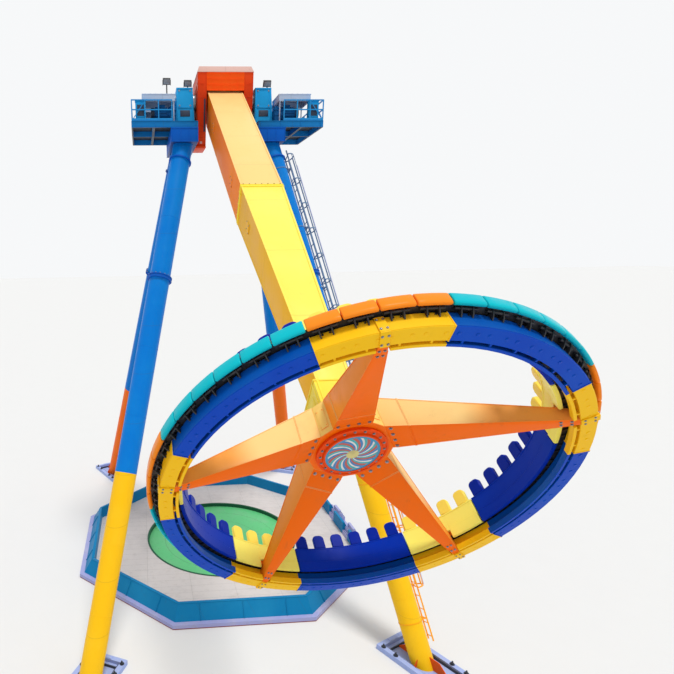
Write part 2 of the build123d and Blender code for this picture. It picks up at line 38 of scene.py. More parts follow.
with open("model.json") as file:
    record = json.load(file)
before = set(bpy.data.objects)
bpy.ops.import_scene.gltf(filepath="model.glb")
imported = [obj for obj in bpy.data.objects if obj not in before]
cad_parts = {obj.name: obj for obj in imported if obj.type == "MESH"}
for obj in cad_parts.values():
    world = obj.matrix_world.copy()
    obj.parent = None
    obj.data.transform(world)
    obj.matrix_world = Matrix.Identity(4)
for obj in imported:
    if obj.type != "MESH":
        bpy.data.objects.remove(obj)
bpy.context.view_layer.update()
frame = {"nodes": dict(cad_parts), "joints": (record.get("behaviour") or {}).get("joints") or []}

PIVOT = Vector(frame["joints"][0]["pos_m"])
HANG = Matrix.Translation(PIVOT) @ Matrix.Rotation(radians(-60), 4, "X")
HOME = Matrix()
RIGHT, BACK, UP, DOWN = (1, 0, 0), (0, 1, 0), (0, 0, 1), (0, 0, -1)
DOWN_ARM = tuple(HANG.to_3x3() @ Vector(DOWN))
ARM_FRONT = tuple(HANG.to_3x3() @ Vector((0, -1, 0)))
SIDES = (-1, 1)
CORNERS = tuple(product(SIDES, SIDES))

# Places on the frame, in metres and degrees. Gondola values are radii and heights over the ring plane.
RING = -24.9
SPOKES = 5
BAY = 72
PHASE = 42.4
PITCH = 7.2
SEGMENTS = {"blue": (6, BAY / 2), "yellow": (4, 0)}
BEAM = (4.07, 4.36)
BEAM_TOP = 0.35
RAIL = (3.95, 4.01)
PANEL = (3.87, 3.93)
PANEL_LOW, PANEL_TOP = 0.31, 0.96
SEAT_OUT = 4.6
HUB_FACE, HUB_TOP = -23.73, -22.85
HUB_APOTHEM = 0.85
HUB_HALF_SIDE = 26.565
SPLICE, BAND = 11.6, 0.12
ARM_SQUARE = 0.77
ARM_TOP, ARM_MIDDLE, ARM_TIP = (1.75, 1.54), (1.56, 1.45), (0.86, 0.9)
CASING = (21.95, 22.84)
HOOD_LOW, CHEEK_LOW, HEAD_TOP = 25.79, 23.34, 26.6
CHEEK_IN = 0.95
BLOCK = (23.25, 23.9)
PLATFORM_MIDDLE = 24.05
CANOPY_TOP = 25.5
MOTOR = 24.76
COVER = 25.12
LEG_TOP = Vector((2.33, 1.8, 22.7))
LEG_FOOT = Vector((7.45, 12.05, 0.0))
LEG_JOINT = 16.7 / 22.7


# Sizes and colours that a user would change

def colour(name, description, default):
    return bpy.props.FloatVectorProperty(
        name=name, description=description, default=default, size=3, min=0, max=1, subtype="COLOR"
    )


def length(name, description, default):
    return bpy.props.FloatProperty(
        name=name, description=description, default=default, min=0.001, unit="LENGTH"
    )


class RideColours(bpy.types.PropertyGroup):
    leg_blue: colour("Leg blue", "Paint on the upper legs", (0.001, 0.19, 0.66))
    leg_yellow: colour("Leg yellow", "Paint on the lower front legs", (1.0, 0.56, 0.008))
    # leg_far is painted shade: a darker, redder copy of the leg yellow for the rear lower legs.
    leg_far: colour("Rear leg orange", "Paint on the lower rear legs", (1.0, 0.17, 0.012))
    # arm_front and arm_side: painted sunlight and painted shade, a lit and a shaded copy of the upper arm's
    # orange paint.
    arm_front: colour("Arm front", "Upper arm plates that face the swing", (1.0, 0.68, 0.25))
    arm_side: colour("Arm side", "Upper arm side plates", (1.0, 0.23, 0.002))
    # lemon and amber: painted sunlight and painted shade, a lit and a shaded copy of the lower arm's yellow
    # paint.
    lemon: colour("Lemon", "Lower arm front plates", (1.0, 0.86, 0.13))
    amber: colour("Amber", "Lower arm side plates", (1.0, 0.5, 0.001))
    head_orange: colour("Head orange", "Hood", (1.0, 0.1, 0.004))
    cap_pink: colour("Cap", "Pale cap on the head", (0.7, 0.44, 0.38))
    deck_blue: colour("Platform blue", "Platform beams", (0.008, 0.2, 0.55))
    housing_blue: colour("Housing blue", "Bearing housings", (0.015, 0.38, 0.8))
    # spoke_front, spoke_web and spoke_cream: copies of one orange paint, the front painted shade and the
    # cream painted sunlight.
    spoke_front: colour("Spoke orange", "Spoke plates that face down", (1.0, 0.16, 0.001))
    spoke_web: colour("Spoke web", "Spoke side plates", (1.0, 0.3, 0.015))
    spoke_cream: colour("Spoke cream", "Spoke side plates that face up", (1.0, 0.68, 0.26))
    ring_yellow: colour("Ring yellow", "Yellow ring segments", (0.98, 0.56, 0.008))
    # ring_blue is the lit copy on the ring's sides; the darker blue on its front faces is painted shade.
    ring_blue: colour("Ring blue", "Blue ring segments", (0.001, 0.075, 0.4))
    teal: colour("Seat teal", "Seats of the blue segments", (0.006, 0.52, 0.6))
    orange: colour("Seat orange", "Seats of the yellow segments", (0.98, 0.28, 0.02))
    parapet: colour("Parapet", "Deck parapet", (0.004, 0.19, 0.42))
    floor: colour("Deck floor", "Pale boards", (0.66, 0.62, 0.6))
    pit: colour("Pit floor", "Green pit floor", (0.1, 0.55, 0.2))


class RideSizes(bpy.types.PropertyGroup):
    bolt: length("Bolt head", "Radius of the large bolt heads", 0.045)
    small_bolt: length("Small bolt head", "Radius of the small bolt heads", 0.028)
    lip: length("Plate edge", "How far a joint plate stands past the ring beam", 0.01)
    headrest: length("Headrest", "Width of one headrest", 0.3)
    headrest_corner: length("Headrest corner", "Radius of a headrest's upper corners", 0.11)


def sizes():
    return bpy.context.scene.ride_sizes


# Shader writing

def math_step(operation):
    return lambda self, other=None: self.run(operation, self, other)


class Wire:
    """A value in a material, so that a sum of values adds its own Math nodes."""

    __add__ = __radd__ = math_step("ADD")
    __mul__ = __rmul__ = math_step("MULTIPLY")
    __sub__ = math_step("SUBTRACT")
    __truediv__ = math_step("DIVIDE")
    __lt__ = math_step("LESS_THAN")
    __abs__ = math_step("ABSOLUTE")
    most = math_step("MAXIMUM")
    root = math_step("SQRT")
    fraction = math_step("FRACT")
    folded = math_step("PINGPONG")

    def __init__(self, finish, socket):
        self.finish = finish
        self.socket = socket

    def run(self, operation, first, second=None):
        given = {0: first} if second is None else {0: first, 1: second}
        return self.finish.node("Math", {"operation": operation}, given)

    def __rsub__(self, other):
        return self.run("SUBTRACT", other, self)

    def near(self, step, width):
        """1 in a narrow band at every step metres, 0 elsewhere."""
        return self.folded(step / 2) < width / 2

    def ramp(self, low, high):
        """0 below low, 1 above high, smooth between."""
        given = {0: self, 1: low, 2: high, 3: 0.0, 4: 1.0}
        return self.finish.node("MapRange", {"interpolation_type": "SMOOTHSTEP"}, given)


class Finish:
    """One material and its nodes."""

    def __init__(self, name):
        self.material = bpy.data.materials.new(name)
        self.material.use_nodes = True
        self.tree = self.material.node_tree
        self.tree.nodes.clear()
        self.place = self.node("TexCoord", output="Object")
        self.facing = self.node("TexCoord", output="Normal")

    def node(self, kind, settings=None, inputs=None, output=0):
        made = self.tree.nodes.new("ShaderNode" + kind)
        for key, value in (settings or {}).items():
            setattr(made, key, value)
        for key, value in (inputs or {}).items():
            if isinstance(value, Wire):
                self.tree.links.new(value.socket, made.inputs[key])
            elif value is not None:
                made.inputs[key].default_value = value
        return Wire(self, made.outputs[output] if made.outputs else None)

    def vector(self, operation, *given):
        return self.node("VectorMath", {"operation": operation}, dict(enumerate(given)), "Value")

    def mix(self, factor, *pair):
        """The first colour, or the second where factor is 1."""
        low, high = (tint if isinstance(tint, Wire) else (*tint, 1) for tint in pair)
        return self.node("Mix", {"data_type": "RGBA"}, {0: factor, 6: low, 7: high}, 2)

    def coats(self, tint, *layers):
        """A colour under further ones, each with its factor."""
        for factor, layer in layers:
            tint = self.mix(factor, tint, layer)
        return tint

    def bands(self, value, stops):
        """Colours that change at given values."""
        wire = self.node("ValToRGB", None, {0: value})
        ramp = wire.socket.node.color_ramp.elements
        while len(ramp) < len(stops):
            ramp.new(1)
        for stop, (at, tint) in zip(ramp, stops):
            stop.position = at
            stop.color = (*tint, 1)
        return wire

    def stretched(self, *scale):
        return self.node("Mapping", {"vector_type": "TEXTURE"}, {"Vector": self.place, "Scale": scale})

    def along(self, axis, vector=None):
        """Distance along a direction, in metres."""
        return self.vector("DOT_PRODUCT", vector or self.place, tuple(axis))

    def noise(self, scale, detail, rough, vector=None):
        given = {"Vector": vector or self.place, "Scale": scale, "Detail": detail, "Roughness": rough}
        return self.node("TexNoise", None, given, "Fac")

    def marks(self, scale, detail, rough, low, high, vector=None):
        """Noise cut to patches, by the values where they begin and are full."""
        return self.noise(scale, detail, rough, vector).ramp(low, high)

    def end(self, tint, rough, bump=None, height=0.01, metal=0.0, coat=0.0, specular=0.5):
        normal = None
        if bump is not None:
            normal = self.node("Bump", None, {"Strength": 0.6, "Distance": height, "Height": bump})
        given = {
            "Base Color": tint if isinstance(tint, Wire) else (*tint, 1),
            "Roughness": rough,
            "Metallic": metal,
            "Normal": normal,
            "Coat Weight": coat,
            "Coat Roughness": 0.15,
            "Specular IOR Level": specular,
        }
        self.node("OutputMaterial", None, {"Surface": self.node("BsdfPrincipled", None, given)})
        return self.material


def chosen(tint):
    """A colour as values, where one of the user's is given by name."""
    return tuple(getattr(bpy.context.scene.ride_colours, tint) if isinstance(tint, str) else tint)


def blend(tint, toward, share):
    return tuple(a * (1 - share) + b * share for a, b in zip(tint, toward))


def faded(tint):
    """The same hue, bleached by the sun."""
    return blend(tint, tuple(part ** 0.6 for part in tint), 0.35)


def grimed(tint, share=0.6):
    return tuple(a * share + b * (1 - share) for a, b in zip(tint, (0.06, 0.045, 0.03)))


def steel_paint(
    name, tint, seam_axis=UP, seam_step=2.4, rough=0.36, grime=0.35, wear=0.4,
    sides=None, under=None, far=None,
):
    """Thick paint on welded plate: fading, rain streaks, weld lines, chips and orange peel.
    sides gives a second colour and the direction whose faces keep the first: a lit and a shaded copy of
    one paint, as painted sunlight and painted shade. under is a painted shade colour for faces that look
    down, and far a painted shade colour for what stands on the far side of the pivot."""
    f = Finish(name)
    ages = (tuple, faded, grimed)
    tints = [age(chosen(tint)) for age in ages]
    # Painted light and shade: faces along the axis and the other faces get a lit and a shaded copy of one
    # paint.
    if sides:
        axis, second = sides
        square = abs(f.along(axis, f.facing)).ramp(0.55, 0.75)
        tints = [f.mix(square, age(chosen(second)), old) for age, old in zip(ages, tints)]
    # Painted shade: a darker, redder copy for what stands beyond the pivot.
    if far:
        beyond = f.along(BACK).ramp(-1.0, 1.0)
        tints = [f.mix(beyond, old, age(chosen(far))) for age, old in zip(ages, tints)]
    base, light, dark = tints
    patches = f.marks(0.45, 4, 0.6, 0.42, 0.72)
    streaks = f.marks(1.0, 4, 0.6, 0.52, 0.74, f.stretched(0.16, 0.16, 2.2))
    blotch = f.marks(2.6, 5, 0.65, 0.45, 0.75)
    seam = f.along(seam_axis).near(seam_step, 0.035)
    worn = f.marks(7.0, 6, 0.7, 0.68, 0.72)
    shade = f.coats(
        base, (patches * 0.45, light), (streaks * blotch * grime, dark), (seam * 0.3, dark),
        (worn * wear * 0.5, (0.33, 0.17, 0.09)),
    )
    # Painted shade: faces that look down get a darker colour.
    if under:
        below = (0 - f.along(UP, f.facing)).ramp(0.5, 0.8)
        shade = f.mix(below, shade, under)
    height = f.noise(55.0, 2, 0.5) * 0.05 + f.noise(0.9, 2, 0.5) * 0.4 + seam * 0.5 - worn * 0.25
    roughness = rough + patches * 0.12 + streaks * 0.12 + worn * 0.25
    return f.end(shade, roughness, height, 0.012, specular=0.1)


def spoke_paint(name, front, web, cream):
    """Spoke paint, copies of one orange: painted shade on the plates across the turning line, painted
    sunlight in the cream on webs that face up, fading out towards the tip as painted shadow.
    """
    f = Finish(name)
    front, web, cream = chosen(front), chosen(web), chosen(cream)
    # Painted shade: plates across the turning line take the darker front orange.
    across = abs(f.along(DOWN_ARM, f.facing)).ramp(0.5, 0.75)
    upward = f.along(UP, f.facing)
    hub = HANG @ Vector((0, 0, HUB_FACE + 0.4))
    # Painted shadow: the cream falls to a quarter beyond about 3 m from the hub.
    inner = 1 - f.vector("DISTANCE", f.place, tuple(hub)).ramp(2.3, 3.1) * 0.75
    stain = f.marks(1.1, 5, 0.65, 0.45, 0.75)
    streaks = f.marks(1.0, 4, 0.6, 0.55, 0.75, f.stretched(0.16, 0.16, 2.0))
    worn = f.marks(9.0, 6, 0.7, 0.68, 0.72)
    shade = f.coats(
        web, (upward.ramp(0.2, 0.75) * inner, cream), (across, front), (stain * 0.12, (0.55, 0.2, 0.06)),
        (streaks * stain * 0.35, (0.2, 0.07, 0.03)), (worn * 0.25, (0.3, 0.15, 0.08)),
    )
    height = f.noise(55.0, 2, 0.5) * 0.05 + f.noise(1.2, 2, 0.5) * 0.35 - worn * 0.2
    return f.end(shade, 0.36 + stain * 0.14 + worn * 0.2, height, 0.01, specular=0.1)


def ladder_paint(name, low, high, level):
    """Ladder steel: the legs' yellow up to a level and dark blue grey above it."""
    f = Finish(name)
    above = f.along(UP).ramp(level - 0.02, level + 0.02)
    rust = f.marks(5.0, 6, 0.7, 0.6, 0.72)
    dust = f.marks(2.0, 4, 0.6, 0.5, 0.8)
    shade = f.coats(low, (above, high), (dust * 0.3, (0.3, 0.28, 0.26)), (rust * 0.35, (0.25, 0.09, 0.03)))
    return f.end(shade, 0.45 + rust * 0.2, f.noise(40.0, 3, 0.5) * 0.3, 0.004, specular=0.12)


def moulded(name, tint, rough=0.3):
    """Glass-fibre or plastic moulding: gloss with scuffs, dust in the hollows and a fine pebble."""
    f = Finish(name)
    tint = chosen(tint)
    dust = f.marks(3.2, 5, 0.6, 0.5, 0.8)
    scuff = f.marks(16.0, 6, 0.7, 0.6, 0.72, f.stretched(1.0, 3.0, 1.0))
    shade = f.coats(tint, (dust * 0.3, grimed(tint, 0.8)), (scuff * 0.2, blend(tint, (1, 1, 1), 0.04)))
    height = f.noise(90.0, 2, 0.5) * 0.1 + f.noise(5.0, 3, 0.5) * 0.3
    return f.end(shade, rough + dust * 0.2 + scuff * 0.2, height, 0.006, specular=0.06)


def dark_steel(name, tint=(0.018, 0.018, 0.02)):
    """Black-painted brackets and fixings, dusty on top and bare where a spanner goes. The same finish
    also makes the painted shade sheet under the seats and the painted shade strips by the cheeks.
    """
    f = Finish(name)
    dust = f.marks(4.0, 5, 0.6, 0.5, 0.8)
    bare = f.marks(11.0, 6, 0.7, 0.66, 0.72)
    shade = f.coats(tint, (dust * 0.45, (0.12, 0.11, 0.1)), (bare * 0.7, (0.3, 0.28, 0.26)))
    height = f.noise(60.0, 3, 0.5) * 0.3
    return f.end(shade, 0.5 - bare * 0.2 + dust * 0.15, height, 0.004, metal=bare * 0.6)


def bare_steel(name, tint=(0.5, 0.5, 0.52)):
    """Turned or galvanised steel with a spangle and light stains."""
    f = Finish(name)
    grain = f.noise(30.0, 4, 0.6)
    stain = f.marks(5.0, 5, 0.6, 0.5, 0.75)
    shade = f.coats(blend(tint, (0.2, 0.2, 0.22), 0.35), (grain, tint), (stain * 0.4, (0.2, 0.13, 0.08)))
    return f.end(shade, 0.3 + stain * 0.25, grain, 0.002, metal=0.8)


def grating_finish(name):
    """Walkway grating: close dark bars with lighter cross rods, worn along the middle. Its near-black
    colour all over is painted shade, for a grating seen from below.
    """
    f = Finish(name)
    lattice = f.along(BACK).near(0.09, 0.045).most(f.along(RIGHT).near(0.3, 0.05))
    dirt = f.noise(2.0, 5, 0.6)
    stain = dirt.ramp(0.5, 0.8) * 0.4
    # Painted shade: near-black base and bars.
    shade = f.coats((0.003, 0.004, 0.007), (lattice, (0.02, 0.03, 0.05)), (stain, (0.1, 0.07, 0.04)))
    return f.end(shade, 0.55 + dirt * 0.2, lattice, 0.02, metal=0.3)


def boards_finish(name, tint):
    """Pale deck boards: joints every board, grain, footmarks and damp stains."""
    f = Finish(name)
    tint = chosen(tint)
    joint = f.along(BACK).near(0.6, 0.02).most(f.along(RIGHT).near(2.4, 0.02))
    stain = f.marks(0.5, 5, 0.65, 0.45, 0.75)
    feet = f.marks(3.0, 6, 0.7, 0.5, 0.75)
    grain = f.noise(8.0, 5, 0.6, f.stretched(1.6, 0.12, 0.3))
    shade = f.coats(
        tint, (grain * 0.3, blend(tint, (0.5, 0.42, 0.34), 0.5)), (stain * 0.3, (0.34, 0.32, 0.32)),
        (feet * 0.22, (0.26, 0.22, 0.19)), (joint * 0.4, (0.3, 0.28, 0.27)),
    )
    return f.end(shade, 0.6 + stain * 0.15, grain * 0.3 - joint, 0.008)


def kerb_finish(name, tint):
    """Painted kerb with a dark red foot line, scraped and dusty. Its lavender tint is painted shade:
    the skylit look of a whitish kerb.
    """
    f = Finish(name)
    foot = 1 - f.along(UP).ramp(0.045, 0.055)
    scrape = f.marks(2.2, 6, 0.7, 0.55, 0.7)
    dust = f.marks(0.8, 4, 0.6, 0.4, 0.8)
    shade = f.coats(
        tint, (dust * 0.45, blend(tint, (0.75, 0.68, 0.6), 0.55)), (scrape * 0.4, (0.36, 0.34, 0.38)),
        (foot, (0.2, 0.012, 0.02)),
    )
    return f.end(shade, 0.55 + scrape * 0.15, f.noise(9.0, 3, 0.5) * 0.3 - scrape * 0.3, 0.008)


def pit_finish(name, tint):
    """Painted pit floor: green with drain stains and scuffs."""
    f = Finish(name)
    joint = f.vector("LENGTH", f.place).near(1.2, 0.02)
    stain = f.marks(0.7, 6, 0.65, 0.42, 0.72)
    mark = f.marks(5.0, 6, 0.7, 0.55, 0.72)
    shade = f.coats(
        chosen(tint), (stain * 0.5, (0.25, 0.5, 0.3)), (mark * 0.3, (0.05, 0.16, 0.07)),
        (joint * 0.6, (0.03, 0.1, 0.05)),
    )
    return f.end(shade, 0.5 + stain * 0.2, mark * 0.3 - joint, 0.006)


def disc_finish(name):
    """Round badge with a plain pinwheel of blue, teal and red petals on white."""
    f = Finish(name)
    centre = HANG @ Vector((0, 0, HUB_FACE - 0.1))
    across, upward = (HANG.to_3x3() @ Vector(axis) for axis in (RIGHT, BACK))
    u = f.along(across) - centre.dot(across)
    v = f.along(upward) - centre.dot(upward)
    reach = (u * u + v * v).root()
    turn = v.run("ARCTAN2", v, u) / (2 * pi)
    blue, white, teal = (0.02, 0.2, 0.5), (0.75, 0.75, 0.72), (0.02, 0.42, 0.45)
    petals = f.bands((turn * 10.0 + reach * 3.0).fraction(), [
        (0.0, blue), (0.25, blue), (0.27, white), (0.45, white), (0.47, teal), (0.7, teal),
        (0.72, (0.5, 0.08, 0.05)),
    ])
    grime = f.marks(5.0, 6, 0.7, 0.45, 0.75)
    shade = f.coats(
        petals, (reach.ramp(0.54, 0.56), (0.01, 0.28, 0.5)), (1 - reach.ramp(0.13, 0.15), (0.7, 0.6, 0.2)),
        (grime * 0.35, (0.12, 0.1, 0.09)),
    )
    return f.end(shade, 0.32 + grime * 0.25, f.noise(20.0, 3, 0.5), 0.003, coat=0.2)


def lens_finish(name):
    """Lamp glass with prism ribs."""
    f = Finish(name)
    ribs = f.along(RIGHT).near(0.04, 0.02)
    dust = f.marks(12.0, 4, 0.6, 0.4, 0.8)
    shade = f.mix(dust * 0.4, (0.2, 0.23, 0.27), (0.12, 0.11, 0.1))
    return f.end(shade, 0.12 + dust * 0.3, ribs, 0.004, coat=0.4)


def steel(*given, **options):
    return partial(steel_paint, *given, **options)


# Each finish with its slot and how it is made
FINISHES = {
    "leg_upper": ("blue_paint", steel("leg_blue", "leg_blue", UP, 2.1, 0.28)),
    # Painted shade: the rear lower legs carry the front legs' yellow paint; their orange is painted shade.
    "leg_lower": ("yellow_paint", steel(
        "leg_yellow", "leg_yellow", UP, 2.1, 0.32, 0.35, 0.35, far="leg_far"
    )),
    "collar": ("blue_paint", steel("collar_blue", (0.004, 0.1, 0.5), UP, 5.0)),
    # Painted light: cream front and back plates are painted sunlight and orange sides painted shade, on one
    # orange paint.
    "arm_upper": ("yellow_paint", steel(
        "arm_cream", "arm_front", DOWN_ARM, 3.0, 0.36, 0.3, 0.4, sides=(ARM_FRONT, "arm_side")
    )),
    # Painted light: lemon front and back plates are painted sunlight and amber sides painted shade, on one
    # yellow paint.
    "arm_lower": ("yellow_paint", steel(
        "arm_lemon", "lemon", DOWN_ARM, 3.3, 0.34, 0.3, 0.4, sides=(ARM_FRONT, "amber")
    )),
    "splice": ("yellow_paint", steel("splice_yellow", (1.0, 0.8, 0.06), DOWN_ARM, 9.0)),
    "casing": ("yellow_paint", steel("casing_yellow", (1.0, 0.82, 0.08), DOWN_ARM, 4.0, 0.32)),
    "head": ("orange_paint", steel("head_orange", "head_orange", UP, 1.5, 0.36)),
    "cheek": ("orange_paint", steel("cheek_red", (0.78, 0.055, 0.006), UP, 1.5, 0.38)),
    "cap": ("pale_paint", steel("cap_pale", "cap_pink", RIGHT, 1.45, 0.5)),
    # Painted shade: the platform frames' faces that look down are near black.
    "platform": ("blue_paint", steel(
        "platform_blue", "deck_blue", RIGHT, 1.6, under=(0.012, 0.025, 0.05)
    )),
    "railing": ("light_blue_paint", steel("railing_blue", (0.02, 0.28, 0.66), UP, 9.0, 0.4)),
    # Painted shade: the head blocks' faces that look down are darker.
    "navy": ("navy_paint", steel(
        "head_block_navy", (0.002, 0.11, 0.55), UP, 1.2, under=(0.004, 0.04, 0.2)
    )),
    "housing": ("light_blue_paint", steel("housing_blue", "housing_blue", UP, 0.93)),
    "motor": ("navy_paint", steel("motor_blue", (0.012, 0.16, 0.46), RIGHT, 3.0, 0.4, 0.6)),
    "canopy": ("pale_paint", steel("canopy_pale", (0.5, 0.62, 0.8), RIGHT, 1.6, 0.45)),
    # Painted light: the hub's front and back take the spoke orange as painted shade, its sides a cream as
    # painted sunlight.
    "hub": ("orange_paint", steel(
        "hub_orange", "spoke_front", DOWN_ARM, 9.0, 0.34, 0.4, 0.4, sides=(DOWN_ARM, (1.0, 0.68, 0.18))
    )),
    "spoke": ("orange_paint", partial(
        spoke_paint, "spoke_orange", "spoke_front", "spoke_web", "spoke_cream"
    )),
    "hub_plate": ("orange_paint", steel("hub_plate_red", (0.86, 0.075, 0.003), UP, 30.0)),
    "ring_yellow": ("yellow_paint", steel("ring_yellow", "ring_yellow", UP, 40.0, 0.34, 0.35)),
    # Painted shade: the ring's front faces take a deeper, darker blue than its sides, one paint in a shaded
    # and a lit copy.
    "ring_blue": ("blue_paint", steel(
        "ring_blue", (0.0005, 0.058, 0.5), UP, 40.0, 0.32, 0.3, sides=(DOWN_ARM, "ring_blue")
    )),
    "panel_yellow": ("yellow_plastic", partial(moulded, "panel_yellow", (1.0, 0.93, 0.18))),
    "panel_blue": ("blue_plastic", partial(moulded, "panel_blue", (0.001, 0.03, 0.42))),
    "headrest_yellow": ("yellow_plastic", partial(moulded, "headrest_yellow", (1.0, 0.8, 0.12))),
    "headrest_blue": ("blue_plastic", partial(moulded, "headrest_blue", (0.002, 0.02, 0.34))),
    "seat_teal": ("teal_plastic", partial(moulded, "seat_teal", "teal", 0.28)),
    "seat_orange": ("orange_plastic", partial(moulded, "seat_orange", "orange", 0.28)),
    "bracket": ("black_steel", partial(dark_steel, "bracket_black")),
    "bolt": ("shaft_steel", partial(bare_steel, "bolt_steel", (0.3, 0.3, 0.32))),
    "shaft": ("shaft_steel", partial(bare_steel, "shaft_steel")),
    "dark_bolt": ("black_steel", partial(dark_steel, "anchor_dark", (0.02, 0.025, 0.04))),
    "base": ("lavender_paint", steel("base_lavender", (0.36, 0.45, 0.78), RIGHT, 30.0, 0.4, 0.5)),
    "ladder": (None, partial(ladder_paint, "ladder_steel", (1.0, 0.42, 0.01), (0.14, 0.24, 0.4), 8.3)),
    "conduit": ("lavender_paint", steel("conduit_pale", (0.5, 0.5, 0.72), UP, 50.0, 0.45)),
    "foot": (None, steel("foot_red", (0.8, 0.1, 0.01), UP, 30.0, 0.4, 0.6)),
    "grating": (None, partial(grating_finish, "walkway_grating")),
    "boards": (None, partial(boards_finish, "deck_boards", "floor")),
    # Painted shade: the lavender is the skylit shaded look of a whitish kerb.
    "kerb": (None, partial(kerb_finish, "kerb_lavender", (0.34, 0.36, 0.66))),
    "parapet": ("teal_paint", steel("parapet_teal", "parapet", (1, 1, 0), 2.6, 0.4, 0.5)),
    "pit": (None, partial(pit_finish, "pit_green", "pit")),
    # Painted shade: the pit wall's near-black green stands for the wall in shadow.
    "pit_wall": ("pit_green", steel("pit_wall_green", (0.015, 0.1, 0.05), UP, 9.0)),
    "disc": (None, partial(disc_finish, "badge_pinwheel")),
    "lens": ("shaft_steel", partial(lens_finish, "lamp_glass")),
    "louvre": ("black_steel", partial(dark_steel, "louvre_dark", (0.01, 0.03, 0.07))),
}


@cache
def material(finish):
    """A finish's material, made on its first use."""
    return FINISHES[finish][1]()


# Modelling

def clear_selection():
    if bpy.context.object and bpy.context.object.mode != "OBJECT":
        bpy.ops.object.mode_set(mode="OBJECT")
    bpy.ops.object.select_all(action="DESELECT")


def edit_all():
    """Edit mode with everything selected."""
    bpy.ops.object.mode_set(mode="EDIT")
    bpy.ops.mesh.select_mode(type="EDGE")
    bpy.ops.mesh.select_all(action="SELECT")


def close_up():
    """Turns all faces outward and leaves edit mode."""
    bpy.ops.mesh.select_all(action="SELECT")
    bpy.ops.mesh.normals_make_consistent(inside=False)
    bpy.ops.object.mode_set(mode="OBJECT")


def pick(piece, kind, test):
    """Edit mode with only the edges or faces selected that pass a test."""
    bpy.ops.object.mode_set(mode="EDIT")
    bpy.ops.mesh.select_mode(type=kind)
    bpy.ops.mesh.select_all(action="DESELECT")
    shape = bmesh.from_edit_mesh(piece.data)
    for part in shape.edges if kind == "EDGE" else shape.faces:
        part.select_set(test(part))
    bmesh.update_edit_mesh(piece.data)


def bevel_edges(piece, width, segments=2, angle=35):
    """Rounds the edges that are sharper than angle."""
    if width:
        pick(piece, "EDGE", lambda e: len(e.link_faces) == 2 and e.calc_face_angle(0) > radians(angle))
        bpy.ops.mesh.bevel(offset=width, segments=segments, affect="EDGES", clamp_overlap=True)
        bpy.ops.object.mode_set(mode="OBJECT")


def put(piece, place, centre=(0, 0, 0)):
    piece.data.transform(place @ Matrix.Translation(centre))
    piece.data.update()
    return piece


def block(size, centre=(0, 0, 0), bevel=0.01, place=HOME, taper=None):
    """A bevelled box. taper shrinks its top face in x and y."""
    clear_selection()
    bpy.ops.mesh.primitive_cube_add(size=1)
    piece = bpy.context.object
    edit_all()
    bpy.ops.transform.resize(value=size)
    if taper:
        pick(piece, "FACE", lambda face: face.normal.z > 0.9)
        bpy.ops.transform.resize(value=(*taper, 1))
    bpy.ops.object.mode_set(mode="OBJECT")
    bevel_edges(piece, bevel)
    return put(piece, place, centre)


def blocks(size, xs, ys, zs, bevel=0.01, place=HOME):
    """A box at every combination of the given x, y and z, each one value or several."""
    values = (value if isinstance(value, tuple) else (value,) for value in (xs, ys, zs))
    return [block(size, spot, bevel, place) for spot in product(*values)]


def pair(value, out=0):
    """A value on both sides of zero, or where out is given, the places that far to its sides."""
    return tuple(side * value + other * out for side in SIDES for other in (SIDES if out else (0,)))


def drum(radius, depth, place=HOME, sides=24, bevel=0.006, lift=0.0):
    """A bevelled cylinder along z."""
    clear_selection()
    bpy.ops.mesh.primitive_cone_add(vertices=sides, radius1=radius, radius2=radius, depth=depth)
    piece = bpy.context.object
    bevel_edges(piece, bevel)
    return put(piece, place, (0, 0, lift))


def bolt_head(radius, place=HOME):
    """A hexagon head on a washer, its foot at z 0."""
    washer = drum(radius * 1.5, radius * 0.3, sides=12, bevel=0, lift=radius * 0.15)
    head = drum(radius, radius * 0.8, sides=6, bevel=radius * 0.12, lift=radius * 0.7)
    return put(joined([washer, head]), place)


def outline(points, fill="NOTHING"):
    """A closed line, or a flat face, through the given points."""
    clear_selection()
    bpy.ops.mesh.primitive_circle_add(vertices=len(points), fill_type=fill)
    piece = bpy.context.object
    for corner, spot in zip(piece.data.vertices, points):
        corner.co = spot
    return piece


def arc_strip(profile, start, end, steps, place=HOME, bevel=0.0):
    """A bar of a given section, (radius, height), spun round z from start to end degrees."""
    x, y = cos(radians(start)), sin(radians(start))
    piece = outline([(radius * x, radius * y, height) for radius, height in profile])
    edit_all()
    bpy.ops.mesh.spin(steps=steps, angle=radians(start - end), center=(0, 0, 0), axis=UP)
    bpy.ops.mesh.select_all(action="SELECT")
    bpy.ops.mesh.remove_doubles(threshold=0.0002)
    bpy.ops.mesh.fill_holes(sides=0)
    close_up()
    bevel_edges(piece, bevel, 2 if bevel > 0.01 else 1, 50)
    return put(piece, place)


def hoop(profile, steps, place=HOME):
    """A full turn of a section."""
    return arc_strip(profile, 0, 360, steps, place)


def ring_strip(section, start, end, steps, bevel=0.0):
    """The same, with heights over the ring plane."""
    return arc_strip([(radius, RING + height) for radius, height in section], start, end, steps, bevel=bevel)


def box_section(inner, outer, low, high):
    return [(inner, low), (outer, low), (outer, high), (inner, high)]


def torus(width, height, thickness, place):
    """A round bead bent to an oval of the given half width and half height."""
    clear_selection()
    bpy.ops.mesh.primitive_torus_add(
        major_segments=28, minor_segments=8, major_radius=1.0, minor_radius=thickness / width
    )
    piece = bpy.context.object
    edit_all()
    bpy.ops.transform.resize(value=(width, height, width))
    bpy.ops.object.mode_set(mode="OBJECT")
    return put(piece, place)


